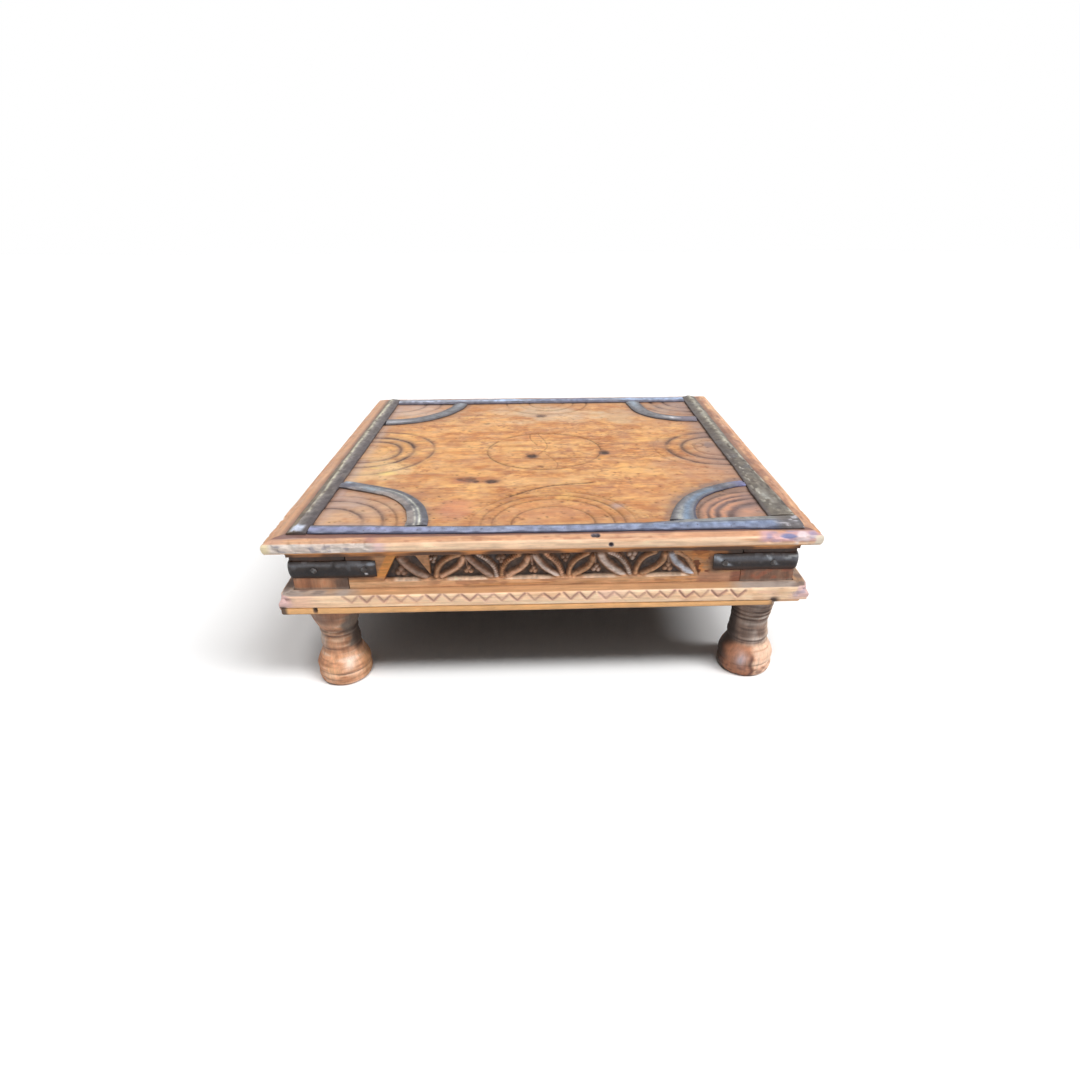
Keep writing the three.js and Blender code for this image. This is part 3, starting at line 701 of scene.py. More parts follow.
def paint_top_stains(paint, x, y, place, blot, grain):
    """Stains round the knots and in the rings, and pale washes"""
    for cx, cy, rx, ry, strength in KNOTS:
        away = oval(x, y, cx, cy, rx, ry) + 0.5 * grain
        paint.coats(
            ((160, 100, 68), 0.5 * strength, (away, 2.6, 0.9)),
            ((90, 58, 44), 0.7 * strength, (away, 1.5, 0.6)),
        )
    wander = 0.8 * noise(place, 34, 5)
    worn = ring_wear(place)
    for cx, cy, radius, width, strength in RINGS:
        if width > STAINED_WIDTH:
            away = np.hypot(x - cx, y - cy) - radius - wander + 0.8 * grain
            paint.coats(((122, 94, 96), 0.62 * strength, worn, bump(away, 0, 1.5 * width)))
    for cx, cy, rx, ry, colour, strength in WASHES:
        away = oval(x, y, cx, cy, rx, ry) + 0.3 * blot + 0.15 * grain
        paint.coats((colour, strength, (away, 1.15, 0.4)))
    # Round the centre of the front right corner the wood is pink between broad dark rings.
    ring = np.hypot(x - 252, y + 258) + 2.0 * grain
    corner_part = rise(x, 168, 182) * rise(y, -162, -176)
    paint.coats(
        ((104, 84, 88), 0.85, corner_part, bump(ring, 41, 7) + bump(ring, 58, 4) + bump(ring, 68, 3)),
        ((236, 168, 132), 0.8, corner_part,
         bump(ring, 27, 10) + bump(ring, 50.5, 4) + bump(ring, 63, 2.5) + bump(ring, 74, 4)),
    )


def paint_top_grime_and_shade(paint, x, y, blot, grain, fine):
    """Grime and painted shade lie along the straps: dark in the angle beside each strap and round the
    outsides of the arcs.
    """
    front_inner = edges_at(x, FRONT_EDGES)[0]
    right_inner = edges_at(y, RIGHT_EDGES)[0]
    across = np.minimum(x - LEFT_EDGES[0], right_inner - x)
    straight = np.minimum(across, np.minimum(y - front_inner, BACK_EDGES[0] - y))
    corner = np.full_like(x, 1e9)
    for points, side_width, end_width in ARCS.values():
        near = (x * points[0][0] > 0) & (y * points[0][1] > 0)
        away = distance_to_path(x[near], y[near], smooth_path(points, 3))
        corner[near] = np.minimum(corner[near], np.maximum(away - (side_width + end_width) / 4, 0))
    beside = np.maximum(straight, 0)
    grime_and_shade = 0.8 * bump(beside, 0, 4) + 0.5 * bump(corner, 0, 4)
    wide = bump(np.maximum(np.minimum(straight, corner), 0), 0, 30)
    # Dark grime and painted shade beside the straps and round the arcs, with duller tones spread wider
    paint.coats(
        ((182, 166, 170), 0.6, bump(straight, 6, 7), (x, -150, -200), 0.8 + 0.4 * blot),
        ((138, 120, 122), 0.6, bump(beside, 6, 15), (x, 190, 235), 0.8 + 0.5 * blot),
        ((112, 98, 98), 0.65, bump(corner, 2, 8), (x, 100, 150), (y, -60, -140), 0.8 + 0.4 * grain),
        ((112, 92, 88), 0.8, grime_and_shade, 0.75 + 0.45 * blot),
        ((176, 132, 108), 0.45, wide, 0.6 + 0.4 * fine),
    )


def paint_top(paint, x, y):
    """The colours of the oiled top, streaked along its grain"""
    place = flat(x, y)
    blot = fractal(place, (44, 26, 1), 33)
    for cx, cy, rx, ry, colour, strength in PATCHES:
        paint.coats((colour, strength, (oval(x, y, cx, cy, rx, ry) + 0.28 * blot, 1.15, 0.35)))
    grain, fine = paint_top_grain(paint, place, blot)
    paint_top_stains(paint, x, y, place, blot, grain)
    paint_top_grime_and_shade(paint, x, y, blot, grain, fine)


def plank_outline(n, y0, y1):
    """Across a plank: its groove, its surface and its tongue"""
    middle = (PLANK_FLOOR + TOP) / 2
    inner = y0 + TONGUE_REACH
    outer = y1 + TONGUE_REACH
    groove = [(y0, middle - 2.8), (inner, middle - 2.8), (inner, middle + 2.8), (y0, middle + 2.8)]
    tongue = [(y1, middle + 2.5), (outer, middle + 2.5), (outer, middle - 2.5), (y1, middle - 2.5)]
    across = np.linspace(y0 + 0.7, y1 - 0.7, int((y1 - y0) / 1.15))
    outline = [(y0, PLANK_FLOOR)] + (groove if n > 1 else [])
    outline += [(y0, TOP - 0.8)] + [(v, TOP) for v in across] + [(y1, TOP - 0.8)]
    return np.array(outline + (tongue if n < PLANK_COUNT else []) + [(y1, PLANK_FLOOR)])


def make_planks():
    for n, (y0, y1) in enumerate(zip(PLANK_JOINTS, PLANK_JOINTS[1:]), 1):
        outline = plank_outline(n, y0, y1 if n == PLANK_COUNT else y1 - SEAT)
        x = np.linspace(-PLANK_END, PLANK_END, 470)[:, None]
        x, y, z = np.broadcast_arrays(x, outline[:, 0], outline[:, 1])
        upper = z > TOP - 0.9
        depth, dark = top_marks(x, y)
        rings = stack(x, y, np.where(upper, z + top_swell(x, y) - depth, z))
        paint = Paint(rings, (218, 165, 114))
        paint_top(paint, x.ravel(), y.ravel())
        paint.coats(((76, 69, 64), ~upper))
        paint.line = np.where(upper, dark, 0).ravel()
        make_piece("top_plank_%d" % n, rings, WOODS["X"], paint)


# The moulded frame of the top

def side_rings(side, outline, count, shape):
    """A strip along a side with mitred ends. Shape gives the worn inset and height there."""
    outline = np.array(outline)
    s, d, z = np.broadcast_arrays(np.linspace(-1, 1, count)[:, None], outline[:, 0], outline[:, 1])
    worn_d, worn_z = shape(side, s * (HALF - d), d, z)
    u = s * (HALF - worn_d - SEAT / 2)
    return turned(stack(u, worn_d - HALF, worn_z), side), u, d, z


def make_strips(name, outline, counts, colour, shape, painter, woods):
    """The four strips of one kind, of which the front one is the finest"""
    for side in SIDES:
        rings, u, d, z = side_rings(side, outline, counts[side != "front"], shape)
        paint = Paint(rings, colour)
        painter(paint, side, u.ravel(), d.ravel(), z.ravel())
        make_piece(name + side, rings, woods[grain_of(side)], paint)


def frame_outline():
    face = resample([(30, 204), (12.6, 204)], 1.6)
    edge = resample([(12.6, 204), (10.8, 203.8), (3.2, 201.3), (1.9, 200.5)], 0.9)
    nose = resample([(1.9, 200.5), (0.9, 199.5), (0.3, 197.8), (0.1, 195.4), (0.4, 192.4),
                     (1.0, 190.2), (2.0, 188.6), (3.4, 188.0)], 0.8)
    cove = resample(arc(3.4, 178.5, 14.1, 9.5, 90, 0, 14), 1.2)
    hidden = [(17.5, 177.0), (44, 177.0), (44, 186.0), (30, 186.0)]
    return face + edge[1:] + nose[1:] + cove[1:] + hidden


# Where the nose is chipped: side, from, to and how deeply
CHIPS = [
    ("front", -300, -178, 1.5),
    ("front", 236, 300, 0.8),
    ("right", -300, -210, 0.7),
    ("left", 190, 300, 0.9),
    ("back", -60, 30, 0.8),
]
# Round holes in the front of the frame: place, inset, height, radius
FRAME_HOLES = [(51.6, 6.6, 203.2, 3.2), (55.4, 6.4, 203.2, 3.4), (70, 1.0, 194.2, 2.9)]


def hole_distance(hole, u, d, z):
    return np.sqrt((u - hole[0]) ** 2 + (d - hole[1]) ** 2 + (z - hole[2]) ** 2)


def frame_shape(side, u, d, z):
    place = turned(stack(u, d - HALF, z), side)
    outer = rise(-d, -20, -12)
    exposed = (z > 177.5) * (d < 29.0)
    dents = 0.35 * noise(place, 30, 41) + 0.16 * noise(place, 9, 42) + 0.1 * noise(place, 3.5, 43)
    worn = dents - 0.25
    inward = -0.9 * worn * exposed * outer
    drop = np.where(z > 200, 0.8 * worn, 0.35 * dents) * exposed
    nose = rise(z, 186.5, 189) * rise(d, 13, 6)
    for name, start, end, depth in CHIPS:
        if name == side:
            flake = rise(noise(place, (11, 11, 5), 44), -0.1, 0.55)
            flake = flake + 0.6 * rise(noise(place, (5, 5, 3), 45), 0, 0.6)
            chipped = depth * span(u, start - 2, start + 10, end - 14, end) * nose * flake
            inward = inward + chipped
            drop = drop - 0.5 * chipped
    if side == "front":
        for hole in FRAME_HOLES:
            sunk = 2.2 * rise(hole_distance(hole, u, d, z), hole[3], 0.4 * hole[3])
            inward = inward + sunk * (z < 201)
            drop = drop - sunk * (z >= 201)
    return d + np.maximum(inward, 0) * exposed, z + np.minimum(drop, 0) * exposed


def paint_front_frame(paint, u, d, z, blot, fine, flat_top, bevel, nose):
    """A pale, chipped left end with a pink edge, a purple-stained right end, and the holes, darkened inside
    with painted shade
    """
    p = paint.points
    left = rise(u, -176, -187)
    paint.coats(
        ((206, 196, 190), 0.85, left, nose),
        ((226, 216, 208), 0.7, left, nose, (noise(p, (8, 8, 4), 54), 0.0, 0.6)),
        ((164, 156, 162), 0.8, left, nose, (noise(p, (6, 6, 3), 55), 0.2, 0.7)),
        ((190, 150, 132), 0.6, left, (0.4 + blot, -0.2, 0.8), bevel),
        ((158, 104, 104), 0.8, bump(u, -184, 8), bevel + flat_top, (blot, -0.8, 0.4)),
        ((190, 188, 206), 0.6, bump(u, -272, 14), flat_top),
        ((240, 222, 166), 0.6, (u, -288, -295), nose),
        ((214, 186, 206), 0.55, bump(u, -176, 7), nose),
    )
    right = rise(u + 2 * blot, 224, 234)
    upper = right * rise(z, 192.5, 195.5) * (bevel + nose)
    blue_spot = oval(u, z, 262, 199.4, 9, 2.5) + 0.2 * fine
    pale_spot = oval(u, z, 277, 200.8, 7, 2.5) + 0.2 * fine
    paint.coats(
        ((210, 168, 178), 0.8, upper, (noise(p, (14, 14, 6), 56), -0.9, 0.0)),
        ((158, 146, 180), 0.7, upper, (noise(p, (8, 8, 4), 57), 0.0, 0.5)),
        ((224, 212, 212), 0.7, (u, 266, 272), nose, (noise(p, (6, 6, 4), 58), -0.4, 0.2)),
        ((236, 224, 198), 0.7, (u, 288, 294), nose),
        ((112, 122, 168), 0.85, (blue_spot, 1.2, 0.6)),
        ((238, 222, 226), 0.8, (pale_spot, 1.2, 0.6)),
        ((222, 160, 122), 0.45, (u, 90, 150), bevel, 1 - right),
    )
    # Each hole is painted dark inside, as painted shade.
    for hole in FRAME_HOLES:
        away = hole_distance(hole, u, d, z) / hole[3]
        paint.line = np.maximum(paint.line, rise(away, 0.95, 0.5))
        paint.coats(((60, 62, 84), (away, 1.2, 0.7)))
    # Dark grime and painted shade along the front strap's outer edge
    paint.coats(((116, 84, 78), 0.75, (d + 0.6 * blot, 8.4, 10.4), flat_top + bevel))


def paint_frame(paint, side, u, d, z):
    p = paint.points
    q = stack(u, d, z)
    streak = fractal(q, (90, 5, 5), 51 + SIDES[side])
    blot = fractal(p, 26, 52)
    fine = fractal(q, (18, 2.2, 2.2), 53)
    specks = noise(q, (7, 3, 3), 59)
    flat_top = rise(z, 202.6, 203.8)
    nose = span(z, 188.6, 190.5, 199.6, 201.0)
    bevel = rise(z, 199.8, 201.2) * (1 - flat_top)
    cove = rise(z, 188.6, 187.6)
    paint.coats(
        ((190, 142, 114), flat_top),
        ((212, 162, 126), bevel),
        ((244, 206, 172), nose),
        # The cove is painted lighter than its wood, painted light in the nose's shade, and darker further
        # in, painted shade.
        ((226, 154, 88), cove),
        ((196, 132, 78), bump(z, 188.8, 1.4), 0.85),
        ((196, 132, 82), 0.4, (d, 11, 17), cove, (blot, -0.4, 0.6)),
        ((188, 128, 88), 0.5, (streak, 0.0, 0.9), 1 - cove),
        ((246, 212, 176), 0.45, (-streak, 0.1, 0.9), 1 - cove),
        ((168, 116, 94), 0.6, (blot, 0.2, 0.9), flat_top + 0.5 * bevel),
        ((170, 112, 84), 0.45, (specks, 0.35, 0.8), flat_top + bevel),
        ((238, 196, 156), 0.4, (-specks, 0.4, 0.85), flat_top + bevel),
    )
    paint.scale(1 + 0.10 * fine)
    if side == "front":
        paint_front_frame(paint, u, d, z, blot, fine, flat_top, bevel, nose)
    if side == "right":
        mottle = fractal(p, (10, 22, 8), 60)
        paint.coats(
            ((148, 104, 84), 0.6, flat_top, (mottle, 0.1, 0.6)),
            ((244, 206, 152), 0.6, flat_top, (-mottle, 0.0, 0.6)),
        )
    if side == "left":
        paint.coats(
            ((210, 166, 130), 0.6, flat_top),
            ((226, 196, 158), 0.5, nose, (blot, -0.2, 0.6)),
        )
    # Dark grime and painted shade in the angle of the straps, and painted shade at the back of the cove
    paint.coats(
        ((110, 76, 66), 0.6, (d, 15, 21), flat_top),
        ((70, 50, 38), 0.8, (d + 0.8 * blot, 16.6, 17.6), cove),
        ((72, 69, 67), d > 18, z < 187),
    )


def make_frame():
    make_strips("top_frame_", frame_outline(), (560, 470), (206, 156, 118), frame_shape, paint_frame,
                WOODS)


# The base moulding with its V marks

def base_outline():
    top = resample([(18.7, 136.0), (6.4, 134.9)], 1.3)
    shoulder = [(5.6, 134.7), (4.8, 134.2), (4.3, 133.5)]
    face = resample([(4.1, 132.6), (4.2, 125.0), (4.6, 117.6)], 0.7)
    quirk = [(4.9, 117.1), (5.6, 116.7), (5.7, 116.2)]
    band = resample([(5.2, 115.8), (5.2, 114.4)], 0.7)
    under = arc(9.2, 114.0, 4.0, 4.0, 180, 270, 7)
    return top + shoulder + face + quirk + band + under + [(18.7, 110.0)]


# The V marks on the front by the place of each point, then their half width, how dark and the lean
V_PLACES = [
    -215.6, -199.0, -180.0, -161.5, -144.8, -125.4, -106.0, -85.4, -68.3, -50.0, -32.7, -13.5, 6.3, 26.7,
    44.8, 66.3, 84.4, 102.0, 119.0, 135.4, 156.0, 173.0, 192.7, 214.6,
]
V_HALF = 8.3
V_MARKS = [(x, 0.75 + 0.25 * math.cos(3.1 * x), 0.8 * math.sin(1.7 * x)) for x in V_PLACES]
PLAIN_MARKS = [(-215 + 430 * n / 23, 0.85, 0.0) for n in range(24)]


def v_marks(side, u, z):
    """How deep the V marks are cut, from 0 to 1"""
    dark = np.zeros_like(u)
    draw = np.random.RandomState(71)
    for x, strength, lean in V_MARKS if side == "front" else PLAIN_MARKS:
        low = 124.6 - 1.2 * x / 215 + draw.uniform(-0.5, 0.5)
        left_top = low + 8.8 + draw.uniform(-0.9, 0.9)
        right_top = low + 8.6 + draw.uniform(-1.3, 0.9)
        near = np.abs(u - x) < V_HALF + 3
        path = [(x - V_HALF + lean, left_top), (x - V_HALF * 0.45, (low + left_top) / 2 - 0.4), (x, low),
                (x + V_HALF * 0.5, (low + right_top) / 2), (x + V_HALF + lean * 0.6, right_top)]
        cut = bump(distance_to_path(u[near], z[near], path), 0, 1.5)
        inner = bump(u[near], x, V_HALF * 0.5) * span(z[near], low - 0.5, low + 1, low + 3, low + 6)
        dark[near] = np.maximum(dark[near], strength * np.maximum(cut, 0.35 * inner))
    return dark


def base_shape(side, u, d, z):
    place = turned(stack(u, d - HALF, z), side)
    dents = 0.35 * noise(place, 40, 61) + 0.15 * noise(place, 10, 62) + 0.08 * noise(place, 3.5, 63)
    inward = np.maximum(0.25 - dents, 0)
    inward = inward + 1.2 * v_marks(side, u, z) * span(z, 118, 119, 133.6, 134.6)
    inward = inward + 1.6 * rise(np.abs(u), 272, 292) * rise(noise(place, (9, 9, 5), 64), 0.0, 0.6)
    inward = inward + 3.2 * rise(np.abs(u), 280, 297) * rise(z, 125, 132)
    # The quirk over the lower band climbs a little towards the left.
    drop = (2.4 - u / 286) * span(z, 111.5, 115.5, 118, 126)
    if side == "front":
        # The lower band is broken away at the right end, and a chip is out of it at the left.
        broken = rise(u, 256, 261) * rise(z, 116.6, 114.6)
        hole = rise(np.hypot(u + 257, z - 114.5), 3.0, 1.2)
        inward = inward + 4.5 * broken + 3.0 * hole + 2.0 * bump(u, 257, 4) * bump(z, 117.5, 3.2)
        drop = drop + 1.6 * broken
    if side == "right":
        broken = rise(u, -250, -262) * rise(z, 116.6, 114.6)
        inward = inward + 4.5 * broken
        drop = drop + 1.6 * broken
    return d + inward * (d < 18), z + drop


def paint_base(paint, side, u, d, z):
    p = paint.points
    q = stack(u, d, z)
    streak = fractal(q, (80, 6, 4), 81 + SIDES[side])
    blot = fractal(p, 24, 82)
    top = rise(z, 134.5, 134.9)
    face = rise(z, 117, 118) * (1 - top)
    band = rise(z, 117.2, 116.4)
    paint.coats(
        ((188, 145, 106), top),
        ((214, 166, 122), 0.5, top, (streak, 0.0, 0.7)),
        ((250, 212, 174), face),
        ((255, 222, 186), face, (z, 128, 134), 0.6),
        ((240, 184, 124), band),
        # The band darkens onto its rounded underside, painted shade.
        ((130, 96, 72), band, (z, 112.4, 110.5)),
        ((226, 172, 128), 0.5, face, (streak, 0.0, 0.9)),
        ((255, 232, 204), 0.5, face, (-streak, 0.1, 0.9)),
        ((214, 160, 118), 0.4, face, (blot, 0.3, 0.9)),
    )
    # A dark line of painted shade in the quirk over the band
    paint.line = 0.5 * bump(z, 116.8, 0.7) * rise(blot, -0.6, 0.5)
    paint.scale(1 + 0.06 * fractal(q, (16, 2, 1.8), 83))
    # Dust and grime lie on the top of the moulding, mostly by the posts, and the top is darker along its
    # back edge by the rail.
    dust = 0.9 * top * rise(np.abs(u), 196, 226)
    ends = 0.6 * rise(np.abs(u), 268, 288) * face
    paint.coats(
        ((158, 116, 106), 0.85, v_marks(side, u, z), face),
        ((226, 178, 170), 0.35, face, (noise(p, (16, 16, 5), 87), 0.2, 0.7)),
        ((168, 158, 152), dust, (blot, -0.9, 0.3)),
        ((96, 84, 78), 0.5 * dust, (fractal(q, (14, 3, 3), 88), 0.0, 0.7), (d, 6, 10)),
        ((112, 98, 94), 0.7, top, (np.abs(u), 252, 264), (noise(p, (10, 10, 5), 89), -0.4, 0.3)),
        ((140, 98, 70), 0.35, (d, 15, 18.5), top),
        ((76, 73, 70), z < 110.4, d > 9),
        ((196, 160, 178), ends, (noise(p, (12, 12, 6), 84), -0.3, 0.4)),
        ((150, 140, 158), ends, (noise(p, (8, 8, 4), 85), 0.1, 0.6)),
    )
    if side == "front":
        paint.coats(
            ((228, 176, 160), 0.4, bump(u, -268, 14), face),
            ((236, 192, 156), 0.9, (u, 262, 266), (z, 116.5, 114.5)),
            ((70, 56, 52), 0.9, bump(u, 259, 4.5), (z, 118, 115.5)),
            ((60, 46, 42), 0.9, (np.hypot(u + 257, z - 114.5), 3.2, 1.4)),
            ((70, 52, 50), 0.85, bump(u, 257, 4.5), bump(z, 117.5, 3.5)),
            ((64, 50, 46), 0.8, (u, -286, -291), (z, 121, 117)),
        )


def make_base():
    make_strips("base_moulding_", base_outline(), (800, 640), (220, 176, 140), base_shape, paint_base,
                BARE_WOODS)


# The rails with the carved panel

PANEL_FOOT = 144.0
PANEL_HEAD = 175.2
PANEL_DEPTH = 7.0
CREST = 6.8
PANEL_LEFT = ([144.0, 149.0, 172.7, 175.2], [-180.0, -178.5, -165.5, -164.0])
PANEL_RIGHT = ([144.0, 150.0, 157.0, 165.0, 171.0, 175.2], [172.0, 171.0, 168.0, 162.5, 156.0, 150.0])

# The carved leaves lean to and fro, each with two rims and a hollow between them.
# A rim is its points along and up the rail, its half width, its crest colour, which is a painted highlight,
# and whether it is nicked.
# Crest colours: painted highlights on the worn ridges
GREY = (178, 152, 136)
TAN = (206, 160, 122)
ROSE = (234, 190, 158)
PALE = (226, 210, 200)
BLUE = (206, 214, 228)
RIMS = [
    ([(-160, 171), (-156, 164.7), (-149, 157.3), (-141.7, 152), (-134, 147.5)], 3.6, GREY, False),
    ([(-122.3, 148), (-121, 155.3), (-116.3, 163.3), (-109.7, 168.7), (-101.7, 172.7),
      (-95.7, 174.3)], 2.7, TAN, False),
    ([(-116.3, 147.6), (-108.3, 152.7), (-100.3, 158), (-94.3, 163.3), (-91.3, 170.7)], 3.0, ROSE, False),
    ([(-86.7, 172), (-83, 167.3), (-76.3, 160), (-69.7, 154), (-61.7, 147)], 3.2, GREY, False),
    ([(-74.3, 174), (-67.7, 170), (-61, 163.3), (-57, 156), (-55.7, 146.7)], 2.8, PALE, True),
    ([(-50, 147.5), (-48.6, 156), (-44.3, 163.3), (-37, 169.3), (-29.7, 173.3)], 2.7, TAN, True),
    ([(-43, 146.7), (-35, 152), (-27, 157.3), (-21.7, 163.3), (-19.7, 170)], 3.1, ROSE, False),
    ([(-12, 171.5), (-8.3, 165.3), (-3, 158.5), (4.5, 152), (13.3, 145.6)], 3.2, PALE, False),
    ([(0.7, 173.6), (6.7, 168), (12.7, 161.3), (16.3, 153.3), (17.6, 145.3)], 2.9, ROSE, True),
    ([(25.3, 146.7), (26.4, 154), (30.7, 162), (38, 168.7), (46.7, 173)], 2.6, TAN, False),
    ([(31.3, 147), (38.7, 150.7), (46, 156), (50.7, 162), (52.7, 169)], 3.0, TAN, False),
    ([(61.5, 171), (66, 163), (73, 156.3), (79, 151), (86.7, 145)], 4.3, PALE, False),
    ([(71.3, 174), (78.7, 170.7), (86, 164), (90.7, 156), (94, 145.5)], 3.0, PALE, True),
    ([(100.3, 147.3), (102, 155.3), (106.7, 164), (113.3, 170), (122, 173.7)], 2.7, TAN, False),
    ([(108, 146.7), (117.3, 150.7), (126, 156.7), (131.3, 163.3), (133.3, 170.7)], 2.8, TAN, False),
    ([(140.5, 170), (144.7, 162.7), (150.7, 156.7), (157.3, 150.7), (164.7, 145.3)], 4.3, BLUE, False),
    ([(144.7, 173.7), (151.3, 171.3), (158.7, 165.3), (164, 157.3), (168.3, 146)], 3.3, TAN, False),
]
# Small carved buds between the leaves: place, height, size and crest colour, a painted highlight
BUDS = [
    (-161.5, 154.0, 1.25, GREY, -1), (-125.0, 168.0, 1.0, PALE, 1), (-86.2, 155.0, 1.1, ROSE, -1),
    (-50.0, 167.0, 1.1, GREY, 1), (-14.6, 153.5, 1.0, ROSE, -1), (21.3, 167.0, 1.05, GREY, 1),
    (56.0, 154.0, 1.1, PALE, -1), (96.0, 168.5, 1.25, PALE, 1), (136.7, 153.5, 1.15, ROSE, -1),
]
# Short stems over the upright buds: place and slant
STEMS = [(-89.0, 1.5), (-16.4, 1.0), (54.7, 0.5), (136.9, 0.5)]
# Stretches where the sill under the panel is pale
PALE_SILLS = [(-169, -142), (-110, -66), (-45, 6), (42, 78), (112, 160)]


def blend(colour, other, share):
    return colour + (np.asarray(other, float) - colour) * share[..., None]


def relief_marks():
    """Each carved ridge: its path, half width, height, crest colour of painted highlight, and whether it is
    nicked
    """
    marks = []
    for points, half, shade, nicked in RIMS:
        marks.append((smooth_path(points, 5), 1.16 * half, CREST, shade, nicked))
    for x, slant in STEMS:
        marks.append((np.array([(x, 172.5), (x + slant, 160.5)]), 1.4, 4.6, GREY, False))
    for x, middle, size, shade, tip in BUDS:
        for dx, dz in ((-2.4, 1.3), (2.2, 1.9), (0.3, -2.2)):
            spot = np.array([x + dx * size, middle + dz * tip * size])
            marks.append((np.array([spot, spot + (0.5, 0.9)]), 2.3 * size, 4.4, shade, False))
    return marks


def carving(u, z):
    """The relief of the panel: depth under the face, the share that is inside, and the colours, with painted
    highlights up the ridges and painted shade down in the ground
    """
    place = flat(u, z)
    height = 0.7 + 0.5 * noise(place, 4, 91) + 0.3 * noise(place, 2, 95)
    colour = np.array([104.0, 86.0, 74.0]) * (1 + 0.28 * noise(place, (5, 3.5, 1), 99))[..., None]
    cover = np.zeros_like(u)
    wander = 0.4 * noise(place, 7, 96) + 0.2 * noise(place, 3, 97)
    for path, half, top, shade, nicked in relief_marks():
        low, high = path.min(0) - 3 * half, path.max(0) + 3 * half
        near = (u > low[0]) & (u < high[0]) & (z > low[1]) & (z < high[1])
        away, run = place_on_path(u[near], z[near], path)
        away = away + wander[near]
        ridge = top * np.exp(-np.abs(away / (1.12 * half)) ** 2.3)
        if nicked:
            ridge = ridge - 1.3 * rise(np.sin(run * 2.3), 0.1, 0.8) * (ridge > 3)
        wins = ridge > height[near]
        height[near] = np.maximum(height[near], ridge)
        # As a ridge rises its flanks turn lighter and its crest takes its colour, painted highlight.
        tone = blend(colour[near], (150, 116, 94), rise(ridge, 0.12 * top, 0.55 * top) * wins)
        strength = (0.75 if top < CREST else 1.0) * rise(ridge, 0.42 * top, 0.98 * top) * wins
        colour[near] = blend(tone, shade, strength)
        cover[near] = np.maximum(cover[near], bump(away, 0, 2.3 * half))
    # The ground far from any ridge is painted dark, painted shade.
    colour = blend(colour, (60, 50, 45), 0.85 * rise(cover, 0.45, 0.1))
    # A flat tan corner is left uncut beside the first leaf.
    beside = (u + 143.7) * 22.7 + (z - 172.7) * 14.0
    uncut = rise(beside, 20, 60) * span(u, -150, -143, -128.6, -127.6) * rise(z, 149, 152)
    height = np.maximum(height, 6.2 * uncut)
    colour = blend(colour, (196, 146, 104), uncut)
    # The lower edge slopes up as a worn sill.
    sill = rise(z + 0.7 * wander, PANEL_FOOT + 4.4, PANEL_FOOT - 0.2)
    height = np.maximum(height, PANEL_DEPTH * sill)
    pale = sum(span(u, a - 3, a + 3, b - 3, b + 3) for a, b in PALE_SILLS)
    tone = blend(np.array([206.0, 158.0, 120.0]), (236, 206, 178), pale)
    tone = tone * (1 + 0.12 * noise(place, (6, 2.5, 1), 98))[..., None]
    colour = blend(colour, tone, rise(sill, 0.12, 0.5))
    left = np.interp(z, *PANEL_LEFT)
    right = np.interp(z, *PANEL_RIGHT)
    inside = span(u, left - 0.8, left + 0.8, right - 0.8, right + 0.8)
    inside = inside * span(z, PANEL_FOOT - 0.6, PANEL_FOOT, PANEL_HEAD - 0.3, PANEL_HEAD + 0.5)
    return np.clip(PANEL_DEPTH - height, 0, PANEL_DEPTH) * inside, inside, colour


def rail_axis(fine, coarse, inner, outer):
    """Places along an axis that are close together within the panel"""
    middle = np.arange(inner[0], inner[1] + fine / 2, fine)
    before = np.linspace(outer[0], inner[0], max(2, int((inner[0] - outer[0]) / coarse)), endpoint=False)
    after = np.linspace(outer[1], inner[1], max(2, int((outer[1] - inner[1]) / coarse)), endpoint=False)
    return np.concatenate([before, middle, after[::-1]])


def paint_front_rail(paint, u, z, q, blot, fine):
    """A yellow tab at the left, and a chipped, stained right end"""
    tab = rise(np.abs(u + 176.5 - 0.55 * (z - 160)), 8.5, 5.5)
    chip = span(u, 160, 166, 180, 187) * rise(z, 144, 148)
    under = rise(u, 166, 176) * rise(z, 150, 146)
    paint.coats(
        ((238, 164, 84), 0.9, tab, (z, 147, 152)),
        ((120, 84, 60), 0.6, (u, -186, -193), (z, 144, 150)),
        ((226, 150, 84), 0.85, chip, (fractal(q, (9, 7, 1), 105), -0.5, 0.1)),
        ((110, 60, 34), 0.85, chip, (fractal(q, (8, 6, 1), 108), 0.0, 0.35)),
        ((70, 56, 50), 0.75, bump(u, 190, 8), (z, 145, 151)),
        ((190, 144, 120), 0.7, under),
        ((232, 194, 166), 0.6, under, (blot, 0.1, 0.6)),
        ((150, 92, 72), 0.75, (u, 206, 211), (z, 151, 147)),
        ((96, 74, 66), 0.5, (u, 206, 211), (fine, 0.0, 0.6)),
        ((214, 138, 70), 0.6, span(u, 150, 156, 200, 206), span(z, 167, 170, 174, 176)),
    )


